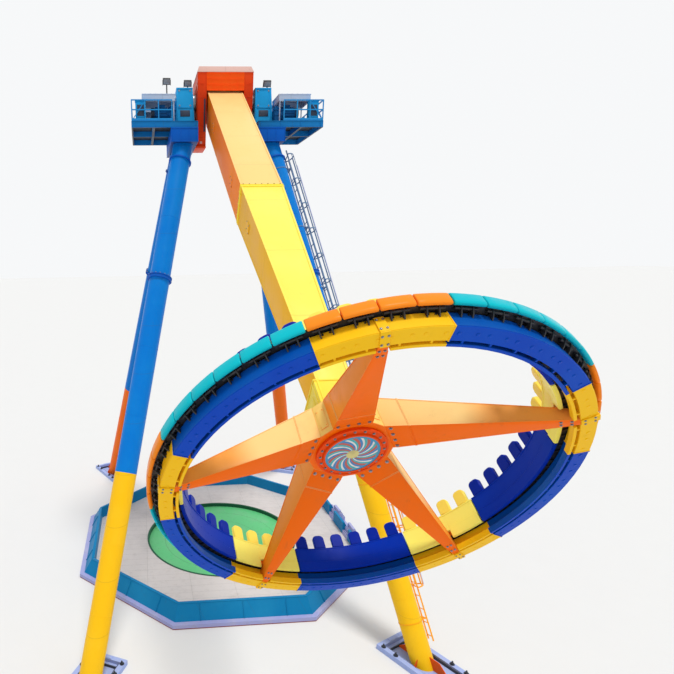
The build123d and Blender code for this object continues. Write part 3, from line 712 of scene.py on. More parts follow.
def bar(start, end, width, depth=None, place=HOME, up=UP, bevel=0.006):
    """A straight bar between two points."""
    a, b = Vector(start), Vector(end)
    line = (b - a).normalized()
    side = line.cross(Vector(up))
    side = side.normalized() if side.length > 0.01 else Vector(RIGHT)
    turn = Matrix((side, line.cross(side), line)).transposed().to_4x4()
    lie = place @ Matrix.Translation((a + b) / 2) @ turn
    return block((width, depth or width, (b - a).length), bevel=bevel, place=lie)


def rod(start, end, radius, sides=12):
    a, b = Vector(start), Vector(end)
    return drum(radius, (b - a).length, facing((a + b) / 2, b - a), sides, 0)


def plate(points, thickness, place=HOME, bevel=0.004):
    """A flat plate of a given outline in x and y, its underside at z 0."""
    piece = outline([(x, y, 0) for x, y in points], "NGON")
    edit_all()
    bpy.ops.mesh.extrude_region_move(TRANSFORM_OT_translate={"value": (0, 0, thickness)})
    close_up()
    bevel_edges(piece, bevel, 1)
    return put(piece, place)


def bridged(outlines, bevel=0.008, thickness=0.0):
    """Sides between two outlines, closed at both ends, or for flat ones thickened along x."""
    piece = joined([outline(points) for points in outlines])
    edit_all()
    bpy.ops.mesh.bridge_edge_loops()
    bpy.ops.mesh.select_all(action="SELECT")
    if thickness:
        bpy.ops.mesh.extrude_region_move(TRANSFORM_OT_translate={"value": (thickness, 0, 0)})
    else:
        bpy.ops.mesh.fill_holes(sides=0)
    close_up()
    bevel_edges(piece, bevel)
    return piece


def hollowed(piece, wall, depth):
    """Sinks a recess into the underside of a box, leaving a wall round it."""
    clear_selection()
    bpy.context.view_layer.objects.active = piece
    piece.select_set(True)
    pick(piece, "FACE", lambda face: face.normal.z < -0.99)
    bpy.ops.mesh.inset(thickness=wall)
    bpy.ops.mesh.extrude_region_move(TRANSFORM_OT_translate={"value": (0, 0, depth)})
    bpy.ops.object.mode_set(mode="OBJECT")
    return piece


def rectangle(width, depth, height):
    """Corners of a level rectangle round the z axis."""
    x, y = width / 2, depth / 2
    return [(-x, -y, height), (x, -y, height), (x, y, height), (-x, y, height)]


def joined(pieces):
    if len(pieces) == 1:
        return pieces[0]
    clear_selection()
    for piece in pieces:
        piece.select_set(True)
    bpy.context.view_layer.objects.active = pieces[0]
    bpy.ops.object.join()
    return bpy.context.object


def repeated(model, places):
    """Copies of one model, each with its own mesh, as one object. The model itself goes."""
    copies = []
    for place in places:
        copy = model.copy()
        copy.data = model.data.copy()
        copy.data.transform(place)
        bpy.context.scene.collection.objects.link(copy)
        copies.append(copy)
    bpy.data.objects.remove(model)
    return joined(copies)


def finished(body, pieces, name, finish, *old, places=None, smooth=35):
    """Joins pieces, copies them to places, names and paints them, and makes them move with a body."""
    piece = joined(pieces)
    if places:
        piece = repeated(piece, places)
    clear_selection()
    piece.name = piece.data.name = name
    piece.select_set(True)
    bpy.context.view_layer.objects.active = piece
    bpy.ops.object.shade_smooth_by_angle(angle=radians(smooth))
    piece.data.materials.clear()
    piece.data.materials.append(material(finish))
    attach(piece, body)
    if old:
        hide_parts(*old)


tower = partial(finished, "tower")
arm = partial(finished, "arm", places=[HANG])
gondola = partial(finished, "gondola")


def turned(degrees):
    return HANG @ Matrix.Rotation(radians(degrees), 4, "Z")


def bays(shift=0.0):
    """One place per spoke, or between them."""
    return [turned(PHASE + BAY * k + shift) for k in range(SPOKES)]


def segments():
    """The ring's kinds of segment: name, whether blue, half angle, steps of a curve, and places."""
    for name, (count, shift) in SEGMENTS.items():
        yield name, name == "blue", count * PITCH / 2, 2 * count, bays(shift)


def seat_places(name):
    """Where the seats of one colour of segment stand, as turns about the arm line."""
    count, shift = SEGMENTS[name]
    steps = [(n - (count - 1) / 2) * PITCH for n in range(count)]
    return [turned(PHASE + shift + BAY * k + step) for k in range(SPOKES) for step in steps]


def round_places(count, radius, start=0.0):
    """Points evenly round a circle."""
    turns = [radians(start + 360 / count * n) for n in range(count)]
    return [(radius * cos(turn), radius * sin(turn)) for turn in turns]


def facing(place, normal):
    """A frame at a point whose z points along normal."""
    return Matrix.Translation(place) @ Vector(normal).to_track_quat("Z", "Y").to_matrix().to_4x4()


def moved(x, y, z):
    return Matrix.Translation((x, y, z))


def leg_frame(side, end, share):
    """A frame on a leg's axis at a share of its height, z up the leg."""
    top = Vector((side * LEG_TOP.x, end * LEG_TOP.y, LEG_TOP.z))
    foot = Vector((side * LEG_FOOT.x, end * LEG_FOOT.y, 0))
    line = (top - foot).normalized()
    out = Vector((side, 0, 0)) - line * (side * line.x)
    out.normalize()
    turn = Matrix((out, line.cross(out), line)).transposed().to_4x4()
    return Matrix.Translation(foot.lerp(top, share)) @ turn


# Operators

class RidePaint(bpy.types.Operator):
    """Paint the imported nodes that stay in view"""

    bl_idname = "pendulum.paint"
    bl_label = "Paint the frame"

    def execute(self, context):
        for node, finish in (
            ("leg_lower_tubes", "leg_lower"), ("leg_upper_tubes", "leg_upper"),
            ("leg_joint_collars", "collar"), ("leg_bases", "base"), ("leg_gussets", "foot"),
            ("access_ladder", "ladder"), ("platform_frames", "platform"),
            ("platform_gratings", "grating"), ("platform_railings", "railing"),
            ("bearing_housings", "housing"), ("floodlights", "bracket"), ("pivot_shaft", "shaft"),
            ("deck_floor", "boards"), ("deck_kerb", "kerb"), ("deck_parapet", "parapet"),
            ("deck_steps", "kerb"), ("pit_floor", "pit"), ("pit_wall", "pit_wall"), ("hub_disc", "disc"),
        ):
            body = frame["nodes"][node].data
            body.materials.clear()
            body.materials.append(material(finish))
        return {"FINISHED"}


class RideSeats(bpy.types.Operator):
    """Moulded bucket seats, thirty teal and twenty orange"""

    bl_idname = "pendulum.seats"
    bl_label = "Seats"

    def execute(self, context):
        back, out = PANEL[1] + 0.003, SEAT_OUT - 0.002
        shell = [
            (back, 0.42), (4.05, 0.405), (4.45, 0.402), (4.5, 0.398), (4.522, 0.31), (4.555, 0.284),
            (4.585, 0.3), (out, 0.36), (out, 0.52), (4.575, 0.57), (4.535, 0.572), (4.505, 0.53),
            (4.46, 0.497), (4.2, 0.478), (4.1, 0.5), (4.05, 0.57), (4.022, 0.75), (4.008, 0.925),
            (3.975, 0.957), (back, 0.955),
        ]
        wing = [
            (back, 0.42), (4.5, 0.405), (4.508, 0.525), (4.4, 0.58), (4.25, 0.61), (4.16, 0.68),
            (4.11, 0.8), (4.06, 0.9), (4.0, 0.935), (back, 0.935),
        ]
        half, wing_width = PITCH / 2 - 0.15, 0.6
        for segment, tint in (("blue", "teal"), ("yellow", "orange")):
            seat = [
                ring_strip(shell, -half, half, 4, 0.028),
                ring_strip(wing, -half, wing_width - half, 1, 0.01),
                ring_strip(wing, half - wing_width, half, 1, 0.01),
            ]
            names = "seats_" + tint, "seat_" + tint, "seat_shells_" + tint
            gondola(seat, *names, places=seat_places(segment), smooth=50)
        return {"FINISHED"}


class RideHeadrests(bpy.types.Operator):
    """Round-topped headrests on the back panels"""

    bl_idname = "pendulum.headrests"
    bl_label = "Headrests"

    def execute(self, context):
        half, corner = sizes().headrest / 2, sizes().headrest_corner
        top, shell, pad = 0.398, 0.12, 0.018
        upright = Matrix(((0, 0, 1, PANEL[0]), (1, 0, 0, 0), (0, 1, 0, RING + PANEL_TOP), (0, 0, 0, 1)))

        def arch(inset):
            wide, bend = half - inset, corner - inset / 2
            points = [(-wide, inset), (wide, inset)]
            for side, start in ((1, 0), (-1, 90)):
                for n in range(6):
                    turn = radians(start + 18 * n)
                    x = side * (wide - bend) + bend * cos(turn)
                    points.append((x, top - inset - bend + bend * sin(turn)))
            return points

        for name in SEGMENTS:
            parts = [plate(arch(0.0), shell, upright, 0.022)]
            parts.append(plate(arch(0.04), pad, upright @ moved(0, 0, shell), 0.008))
            names = "headrests_round_" + name, "headrest_" + name, "headrests_" + name
            gondola(parts, *names, places=seat_places(name), smooth=40)
        return {"FINISHED"}


class RideBrackets(bpy.types.Operator):
    """Twin gusset plates and a cross tube under every seat, and a thin black sheet below the seats as painted
    shade
    """

    bl_idname = "pendulum.brackets"
    bl_label = "Seat brackets"

    def execute(self, context):
        back, edge, thick = 3.935, BEAM[1] + 0.001, 0.024
        shape = [(back, 0.352), (edge, 0.352), (edge, 0.22), (4.42, 0.26)]
        shape += [(4.495, 0.36), (4.495, 0.4), (back, 0.4)]
        parts = []
        for side in (-0.1, 0.1):
            lie = moved(0, side + thick / 2, RING) @ Matrix.Rotation(radians(90), 4, "X")
            parts.append(plate(shape, thick, lie))
        parts.append(rod((4.44, -0.2, RING + 0.35), (4.44, 0.2, RING + 0.35), 0.026))
        parts.append(block((0.13, 0.26, 0.014), (4.43, 0, RING + 0.392), 0.004))
        for side in (-0.06, 0.06):
            parts.append(drum(0.018, 0.02, facing((4.368, side, RING + 0.3), RIGHT), 8, 0))
        places = [place for name in SEGMENTS for place in seat_places(name)]
        gondola(parts, "seat_gussets", "bracket", "seat_brackets", places=places)
        # Painted shade: a thin black sheet all round under the seat pans fills the gap between beam and
        # seats, where shade falls.
        seat_shade = ring_strip(box_section(back, 4.506, 0.386, 0.398), 0, 360, 100)
        gondola([seat_shade], "seat_tray", "bracket", places=[HANG])
        return {"FINISHED"}


def runs(half, gap):
    """From one end to the other, less a gap in the middle."""
    return [(-half, -gap), (gap, half)] if gap else [(-half, half)]


class RideRing(bpy.types.Operator):
    """Ring beam with its inner rail and ties, and the back panels, in five yellow and five blue parts"""

    bl_idname = "pendulum.ring"
    bl_label = "Ring beam and panels"

    def execute(self, context):
        rail_middle, tie = (RAIL[1] + BEAM[0]) / 2, (BEAM[0] - RAIL[1] + 0.02, 0.04, 0.1)
        window = 2.2
        for name, blue, half, steps, places in segments():
            parts = [ring_strip(box_section(*BEAM, 0, BEAM_TOP), -half, half, steps, 0.008)]
            for a, b in runs(half, 0 if blue else 1.6):
                parts.append(ring_strip(box_section(*RAIL, 0, 0.14), a, b, steps, 0.006))
            for n in range(SEGMENTS[name][0]):
                lie = Matrix.Rotation(radians(PITCH * (n + 0.5) - half), 4, "Z")
                parts.append(block(tie, (rail_middle, 0, RING + 0.07), 0.004, lie))
            paint, sheet = "ring_" + name, "panel_" + name
            gondola(parts, "ring_beams_" + name, paint, "ring_beam_" + name, places=places)
            full, high = box_section(*PANEL, PANEL_LOW, PANEL_TOP), half - 0.18
            spans = runs(high, 0 if blue else window)
            sheets = [ring_strip(full, a, b, steps if blue else 6, 0.006) for a, b in spans]
            if not blue:
                over = box_section(*PANEL, 0.5, PANEL_TOP)
                sheets.append(ring_strip(over, -window, window, 2, 0.006))
            gondola(sheets, "panel_sheets_" + name, sheet, "back_panels_" + name, places=places)
        return {"FINISHED"}


class RideRingTrim(bpy.types.Operator):
    """Joint plates, weld lips and caps on the ring beam, and the bolts of the spoke end plates"""

    bl_idname = "pendulum.ring_trim"
    bl_label = "Ring trim"

    def execute(self, context):
        lip, width = sizes().lip, 0.26
        inner, outer = BEAM
        collar = box_section(inner - lip, outer + lip, -lip * 0.85, BEAM_TOP + 0.004)
        bead = box_section(outer - 0.004, outer + 0.008, 0.012, 0.03)
        fold = box_section(inner - 0.008, inner + 0.004, 0.2, 0.215)
        for name, blue, half, steps, places in segments():
            high = half - 0.02
            bars = [ring_strip(section, -high, high, steps) for section in (bead, fold)]
            for start in (-high, high - width):
                bars.append(ring_strip(collar, start, start + width, 1, 0.003))
            gondola(bars, "ring_joints_" + name, "ring_" + name, places=places)
            caps = []
            for y in (-0.16, 0.16):
                caps.append(drum(0.032, 0.016, facing(((inner + outer) / 2, y, RING), DOWN), 16, 0.004))
            gondola(caps, "ring_caps_" + name, "ring_" + name, places=seat_places(name))
        bolts = []
        for y in (-0.05, 0.05):
            for x in (inner + 0.06, outer - 0.06):
                bolts.append(bolt_head(0.016, facing((x, y, RING - 0.03), DOWN)))
            for z in (0.06, 0.28):
                bolts.append(bolt_head(0.016, facing((outer + 0.03, y, RING + z), RIGHT)))
        gondola(bolts, "end_plate_bolts", "bolt", places=bays())
        return {"FINISHED"}


class RidePanels(bpy.types.Operator):
    """The folded step, edge roll and fixings on the inner side of the back panels"""

    bl_idname = "pendulum.panels"
    bl_label = "Back panel folds"

    def execute(self, context):
        face, gap = PANEL[0], 2.4
        step = box_section(face - 0.018, face + 0.002, PANEL_LOW + 0.01, 0.56)
        bridge = box_section(face - 0.018, face + 0.002, 0.505, 0.56)
        roll = box_section(face - 0.012, face + 0.002, PANEL_TOP - 0.035, PANEL_TOP - 0.003)
        for name, blue, half, steps, places in segments():
            high = half - 0.25
            spans = runs(high, 0 if blue else gap)
            bars = [ring_strip(step, a, b, 10 if blue else 5, 0.006) for a, b in spans]
            bars.append(ring_strip(roll, -high, high, steps, 0.004))
            if not blue:
                bars.append(ring_strip(bridge, -gap, gap, 2, 0.006))
            knobs = []
            for y, z in product((-0.17, 0.17), (0.64, 0.88)):
                knobs.append(drum(0.016, 0.014, facing((face - 0.002, y, RING + z), (-1, 0, 0)), 10, 0.003))
            parts = [repeated(joined(bars), places), repeated(joined(knobs), seat_places(name))]
            gondola(parts, "panel_folds_" + name, "panel_" + name)
        return {"FINISHED"}


class RideSpokes(bpy.types.Operator):
    """Tapered spoke boxes with their end plates, weld beads, bolted flanges and bolts"""

    bl_idname = "pendulum.spokes"
    bl_label = "Spokes"

    def execute(self, context):
        tip, outer = BEAM
        root_width, tip_width, tip_top = 0.85, 0.16, 0.3
        run = tip - HUB_APOTHEM
        slope = (HUB_FACE - RING) / run

        def section(radius):
            """Half width, underside and top of a spoke at a radius."""
            share = (radius - HUB_APOTHEM) / run
            half = (root_width - (root_width - tip_width) * share) / 2
            return half, HUB_FACE + (RING - HUB_FACE) * share, HUB_TOP + (RING + tip_top - HUB_TOP) * share

        row = partial(gondola, places=bays())
        outlines = []
        for x in (HUB_APOTHEM, tip):
            half, low, high = section(x)
            outlines.append([(x, -half, low), (x, half, low), (x, half, high), (x, -half, high)])
        row([bridged(outlines, 0.012)], "spoke_boxes", "spoke", "spokes")
        thick = 0.03
        reach = outer - tip + thick
        foot = block((reach, tip_width, thick), (tip + reach / 2, 0, RING - thick / 2))
        face = block((thick, tip_width, BEAM_TOP), (outer + thick / 2, 0, RING + BEAM_TOP / 2))
        row([foot, face], "spoke_end_plates", "ring_yellow", "spoke_shoes")
        welds = []
        for ends in ((0.92, 2.45), (2.45, 3.9)):
            for side, (edge, lift) in product(SIDES, ((1, 0.012), (2, -0.012))):
                a, b = ((x, side * section(x)[0], section(x)[edge] + lift) for x in ends)
                welds.append(bar(a, b, 0.014, 0.02, bevel=0.003))
        row(welds, "spoke_welds", "spoke")
        flanges = []
        for x in (1.3, 1.322):
            half, low, high = section(x)
            size = (0.016, 2 * half + 0.024, high - low + 0.024)
            flanges.append(block(size, (x, 0, (low + high) / 2), 0.003))
        row(flanges, "spoke_flanges", "spoke")
        head = sizes().small_bolt
        spots = [(0.95, y, head) for y in (-0.33, -0.11, 0.11, 0.33)]
        spots += [(x, y, head * 0.7) for x in (3.78, 3.94) for y in (-0.045, 0.045)]
        bolts = [bolt_head(size, facing((x, y, section(x)[1]), (-slope, 0, -1))) for x, y, size in spots]
        row(bolts, "spoke_bolts", "bolt")
        return {"FINISHED"}


class RideHub(bpy.types.Operator):
    """Hub body with its round plate, rims, bolts and covers"""

    bl_idname = "pendulum.hub"
    bl_label = "Hub"

    def execute(self, context):
        corners = []
        for k, side in product(range(SPOKES), SIDES):
            turn = radians(PHASE + BAY * k + side * HUB_HALF_SIDE)
            corners.append((0.9504 * cos(turn), 0.9504 * sin(turn)))
        body = plate(corners, HUB_TOP - HUB_FACE, moved(0, 0, HUB_FACE), 0.01)
        spindle = drum(0.25, 0.6, sides=40, lift=HUB_TOP + 0.29)
        gondola([body, spindle], "hub_body", "hub", "hub", places=[HANG])
        disc = drum(0.8, 0.06, sides=72, bevel=0.01, lift=HUB_FACE - 0.03)
        gondola([disc], "hub_round_plate", "hub_plate", "hub_plate", places=[HANG])
        plate_face = HUB_FACE - 0.06
        lip = plate_face - 0.052
        rims = [
            hoop(box_section(0.755, 0.798, plate_face - 0.014, plate_face + 0.002), 48),
            hoop([(0.612, lip), (0.652, lip), (0.672, plate_face), (0.612, plate_face)], 48),
        ]
        gondola(rims, "hub_rims", "hub_plate", places=[HANG])
        places = [HANG @ facing((x, y, plate_face), DOWN) for x, y in round_places(20, 0.712, 9)]
        gondola([bolt_head(sizes().small_bolt * 0.8)], "hub_bolts", "bolt", places=places)
        flat = hypot(HUB_APOTHEM, 0.425) * cos(radians(36 - HUB_HALF_SIDE))
        covers = [block((0.02, 0.2, 0.56), (flat + 0.008, 0, -23.3))]
        for y, z in product((-0.07, 0.07), (-23.52, -23.08)):
            covers.append(bolt_head(0.014, facing((flat + 0.018, y, z), RIGHT)))
        gondola(covers, "hub_covers", "hub", places=bays(BAY / 2))
        return {"FINISHED"}


class RideArm(bpy.types.Operator):
    """Arm boxes and splice band, with edge plates, splice flanges and bolts, and hatches"""

    bl_idname = "pendulum.arm"
    bl_label = "Arm"

    def execute(self, context):
        below = SPLICE + BAND

        def half_at(s):
            """Half width and half depth at a distance from the pivot."""
            spans = (ARM_SQUARE, SPLICE, ARM_TOP, ARM_MIDDLE), (below, CASING[0], ARM_MIDDLE, ARM_TIP)
            start, end, top, low = spans[s > SPLICE]
            share = max(0.0, (s - start) / (end - start))
            return [(a + (b - a) * share) / 2 for a, b in zip(top, low)]

        def edge(s0, s1, side, front):
            ends = []
            for s in (s0, s1):
                wide, deep = half_at(s)
                ends.append((side * (wide - 0.024), front * (deep + 0.004), -s))
            return bar(*ends, 0.07, 0.024, up=BACK)

        upper = [
            bridged([rectangle(*ARM_MIDDLE, -SPLICE), rectangle(*ARM_TOP, -ARM_SQUARE)], 0.014),
            block((*ARM_TOP, 0.78), (0, 0, -0.39), 0.014),
            drum(ARM_TOP[1] / 2, ARM_TOP[0], facing((0, 0, 0), RIGHT), 48, 0.014),
        ]
        arm(upper, "arm_upper_box", "arm_upper", "arm_upper")
        lower = bridged([rectangle(*ARM_TIP, -CASING[0]), rectangle(*ARM_MIDDLE, -below)], 0.014)
        arm([lower], "arm_lower_box", "arm_lower", "arm_lower")
        arm([block((1.6, 1.49, BAND), (0, 0, -SPLICE - BAND / 2))], "arm_splice_band", "splice", "arm_splice")
        upper = [edge(0.95, SPLICE - 0.04, *corner) for corner in CORNERS]
        lower = [edge(below + 0.04, CASING[0] - 0.05, *corner) for corner in CORNERS]
        arm(upper, "arm_edges_upper", "arm_upper")
        arm(lower, "arm_edges_lower", "arm_lower")

        flange = blocks((1.62, 1.51, 0.028), 0, 0, (0.014 - SPLICE, -0.014 - below), 0.006)
        for x, z in ((0.79, 0.07 - SPLICE), (0.785, -0.07 - below)):
            flange += blocks((0.05, 0.024, 0.12), pair(x), (-0.45, 0, 0.45), z, 0.004)
        arm(flange, "arm_splice_flanges", "splice")
        spots = [(0.23 * n, front * 0.742) for n in range(-3, 4) for front in SIDES]
        spots += [(side * 0.79, y) for side in SIDES for y in (-0.22, 0.22)]
        heads = [HANG @ facing((x, y, 0.028 - SPLICE), UP) for x, y in spots]
        arm([bolt_head(sizes().bolt * 0.5)], "arm_splice_bolts", "bolt", places=heads)

        hatches, knobs = [], []
        for s, height in ((3.6, 0.5), (9.6, 0.42), (13.4, 0.42), (19.6, 0.34)):
            wide = half_at(s)[0]
            for side in SIDES:
                hatches.append(block((0.016, 0.36, height), (side * (wide + 0.006), 0, -s), 0.006))
                for y, end in product((-0.14, 0.14), SIDES):
                    spot = (side * (wide + 0.012), y, end * (height / 2 - 0.04) - s)
                    knobs.append(HANG @ facing(spot, (side, 0, 0)))
        arm(hatches[:4], "arm_hatches_upper", "arm_upper")
        arm(hatches[4:], "arm_hatches_lower", "arm_lower")
        arm([bolt_head(0.018)], "arm_hatch_bolts", "bolt", places=knobs)
        return {"FINISHED"}


class RideCasing(bpy.types.Operator):
    """Turning casing with oval lug rims, hatch, stiffeners and slots"""

    bl_idname = "pendulum.casing"
    bl_label = "Casing"

    def execute(self, context):
        top, bottom = -CASING[0], -CASING[1]
        middle, tall, rims = (top + bottom) / 2, top - bottom, (top - 0.03, bottom + 0.03)
        body = hollowed(block((1.1, 1.1, tall), (0, 0, middle)), 0.25, 0.62)
        arm([body], "casing_body", "casing", "turning_casing")
        trim = blocks((1.13, 0.03, 0.05), 0, pair(0.556), rims)
        trim += blocks((0.03, 1.13, 0.05), pair(0.556), 0, rims)
        trim += blocks((0.05, 0.03, tall - 0.06), (-0.46, 0.4), pair(0.558), middle, 0.008)
        trim += blocks((0.03, 0.05, tall - 0.06), pair(0.556), pair(0.42), middle, 0.008)
        trim += blocks((0.02, 0.46, 0.34), pair(0.556), 0, middle)
        dark = blocks((0.012, 0.08, 0.34), pair(0.555), 0.32, bottom + 0.24, 0.004)
        for side in SIDES:
            for x, z, wide, high in ((0.18, -22.24, 0.15, 0.1), (-0.25, -22.6, 0.11, 0.11)):
                spot = facing((x, side * 0.552, z), (0, side, 0))
                trim.append(torus(wide, high, 0.024, spot))
                dark.append(drum(min(wide, high) * 0.7, 0.012, spot, 20))
        arm(trim, "casing_trim", "casing")
        arm(dark, "casing_slots", "louvre")
        return {"FINISHED"}


class RideHead(bpy.types.Operator):
    """Cheeks, hood and cap of the head, with ribs, flanges and seams, and dark strips by the cheeks'
    inner edges as painted shade of the gap to the arm
    """

    bl_idname = "pendulum.head"
    bl_label = "Head"

    def execute(self, context):
        def face_y(z, side):
            if z < HOOD_LOW:
                return side * (0.65 + 0.6 * (z - CHEEK_LOW) / (HOOD_LOW - CHEEK_LOW))
            return side * (1.25 + 0.05 * (z - HOOD_LOW) / (HEAD_TOP - HOOD_LOW))

        def upright(x, low, high, side, width, thick):
            return bar(*((x, face_y(z, side), z) for z in (low, high)), width, thick, up=BACK)

        cheeks = blocks((0.55, 1.5, 0.1), pair(1.225), 0, CHEEK_LOW - 0.05)
        cheeks += blocks((0.1, 1.1, BLOCK[1] - CHEEK_LOW), pair(1.45), 0, (BLOCK[1] + CHEEK_LOW) / 2)
        steps = (24.2, 24.9, 25.5, HOOD_LOW, HEAD_TOP)
        outer = [(-0.65, CHEEK_LOW), (0.0, CHEEK_LOW), (0.65, CHEEK_LOW)]
        outer += [(face_y(z, 1), z) for z in steps] + [(0.5, HEAD_TOP), (-0.5, HEAD_TOP)]
        outer += [(face_y(z, -1), z) for z in reversed(steps)]
        for side in SIDES:
            ring, hole = [], []
            for y, z in outer:
                away = Vector((y, z - PIVOT.z)).normalized() * 0.43
                ring.append((side * CHEEK_IN, y, z))
                hole.append((side * CHEEK_IN, away.x, PIVOT.z + away.y))
            cheeks.append(bridged([ring, hole], thickness=side * 0.45))
        tower(cheeks, "cheek_plates_main", "cheek", "head_cheeks")
        half = [(1.3, HEAD_TOP), (1.25, HOOD_LOW), (1.19, HOOD_LOW), (1.24, HEAD_TOP - 0.06)]
        sheet = half + [(-y, z) for y, z in reversed(half)]
        across = Matrix(((0, 0, 1, -CHEEK_IN), (1, 0, 0, 0), (0, 1, 0, 0), (0, 0, 0, 1)))
        tower([plate(sheet, 2 * CHEEK_IN, across)], "hood_sheet", "head", "head_hood")
        top = block((2.86, 2.66, 0.3), (0, 0, HEAD_TOP + 0.15), 0.02, taper=(0.923, 0.865))
        tower([top], "cap_roof", "cap", "head_cap")
        ribs, slots, marks = [], [], []
        darker = blocks((0.03, 0.05, 1.9), pair(1.41), (-0.6, 0, 0.6), 25.2, 0.008)
        for side in SIDES:
            for z in (HOOD_LOW + 0.02, 26.06, 26.32, 26.57):
                ribs.append(block((1.88, 0.04, 0.03), (0, face_y(z, side) + side * 0.01, z), 0.006))
            for x in (-0.62, -0.2, 0.2, 0.62):
                ribs.append(upright(x, HOOD_LOW + 0.02, 26.57, side, 0.025, 0.03))
            for edge in SIDES:
                for z in (23.7, 24.3, 24.9, 25.5, 26.1):
                    spot = (edge * 1.22, face_y(z, side) + side * 0.006, z)
                    darker.append(block((0.3, 0.03, 0.03), spot, 0.006))
                for x in (0.967, 1.383):
                    darker.append(upright(edge * x, CHEEK_LOW + 0.02, HOOD_LOW, side, 0.035, 0.03))
                    darker.append(upright(edge * x, HOOD_LOW, HEAD_TOP - 0.02, side, 0.035, 0.03))
                # Painted shade: dark strips near the cheeks' inner edges stand for the shaded gap between
                # cheek and arm.
                slots.append(upright(edge * 1.035, 24.0, 25.45, side, 0.09, 0.018))
                marks.append(block((0.12, 0.02, 0.14), (edge * 1.2, face_y(23.52, side), 23.52), 0.006))
        tower(ribs, "hood_ribs", "head")
        tower(darker, "cheek_ribs", "cheek")
        tower(slots, "cheek_slots", "louvre")
        tower(marks, "cheek_plates", "cap")
        seams = blocks((0.04, 2.24, 0.02), (-0.72, 0, 0.72), 0, 26.886, 0.006)
        seams += blocks((2.58, 0.04, 0.02), 0, (-0.6, 0, 0.6), 26.885, 0.006)
        tower(seams, "cap_seams", "cap")
        return {"FINISHED"}


class RidePlatforms(bpy.types.Operator):
    """Toe boards, braces, posts, under-beams and cabinets on the platforms"""

    bl_idname = "pendulum.platforms"
    bl_label = "Platform details"

    def execute(self, context):
        inner, outer, wide, middle = 1.52, 4.76, 3.24, pair(3.14)
        posts = tuple(side * (inner + 0.1 + n) for side in SIDES for n in range(4))
        beams = blocks((wide, 0.016, 0.3), middle, pair(2.278), PLATFORM_MIDDLE, 0.004)
        beams += blocks((wide, 0.05, 0.02), middle, pair(2.287), (23.91, 24.19), 0.004)
        beams += blocks((0.02, 0.03, 0.26), posts, pair(2.29), PLATFORM_MIDDLE, 0.004)
        beams += blocks((0.016, 4.54, 0.3), pair(outer + 0.004), 0, PLATFORM_MIDDLE, 0.004)
        rails = blocks((2.0, 0.02, 0.12), pair(outer - 1.0), pair(2.255), 24.26, 0.004)
        rails += blocks((0.02, 4.5, 0.12), pair(outer - 0.01), 0, 24.26, 0.004)
        for side, end in CORNERS:
            x = side * (outer - 0.03)
            rails.append(bar((x, end * 2.22, 24.25), (x, end * 1.1, 25.1), 0.035))
        for side in SIDES:
            low, high = (side * (outer - 0.05), -2.24, 24.25), (side * (outer - 0.68), -2.24, 25.1)
            rails.append(bar(low, high, 0.035))
        boxes = blocks((0.5, 0.35, 0.9), pair(4.3), pair(1.95), 24.66, 0.02)
        boxes += blocks((0.54, 0.4, 0.03), pair(4.3), pair(1.95), 25.12, 0.008)
        vents = blocks((0.34, 0.02, 0.5), pair(4.3), pair(2.1294), 24.7, 0.006)
        tower(beams, "platform_beams", "platform")
        tower(rails, "platform_toe_boards", "railing")
        tower(boxes, "platform_cabinets", "housing")
        tower(vents, "cabinet_vents", "louvre")
        return {"FINISHED"}


class RideHousings(bpy.types.Operator):
    """Covers, ribs, vents and bolts on the bearing housings"""

    bl_idname = "pendulum.housings"
    bl_label = "Housing details"

    def execute(self, context):
        parts = blocks((0.9, 0.05, 0.06), pair(2.025), pair(0.99), 24.26)
        parts += blocks((0.84, 0.05, 0.06), pair(2.025), pair(0.765), 26.0)
        parts += blocks((0.84, 0.05, 0.05), pair(2.025), pair(0.88), 25.1)
        parts += blocks((0.5, 0.7, 0.05), pair(2.02), 0.2, 26.07, 0.012)
        bolts, vents = [], []
        for side, front in CORNERS:
            for low, high in ((1.62, 1.65), (2.43, 2.4)):
                ends = (side * low, front * 1.0, 24.22), (side * high, front * 0.755, 26.03)
                parts.append(bar(*ends, 0.06, 0.04, up=BACK))
            ends = (side * 2.025, front * 0.94, 24.68), (side * 2.025, front * 0.9, 24.98)
            vents.append(bar(*ends, 0.5, 0.02, up=BACK))
            for x, z in product((1.75, 2.3), (25.2, 25.9)):
                y = 1.0 - 0.25 * (z - 24.2) / 1.85
                bolts.append(facing((side * x, front * y, z), (0, front, 0.13)))
        for side in SIDES:
            parts.append(drum(0.62, 0.06, facing((side * 2.5, 0, COVER), (side, 0, 0)), 40, 0.015))
            for y, z in round_places(12, 0.53):
                bolts.append(facing((side * 2.525, y, COVER + z), (side, 0, 0)))
        tower(parts, "housing_ribs", "housing")
        tower(vents, "housing_vents", "louvre")
        tower([bolt_head(sizes().small_bolt)], "housing_bolts", "bolt", places=bolts)
        return {"FINISHED"}


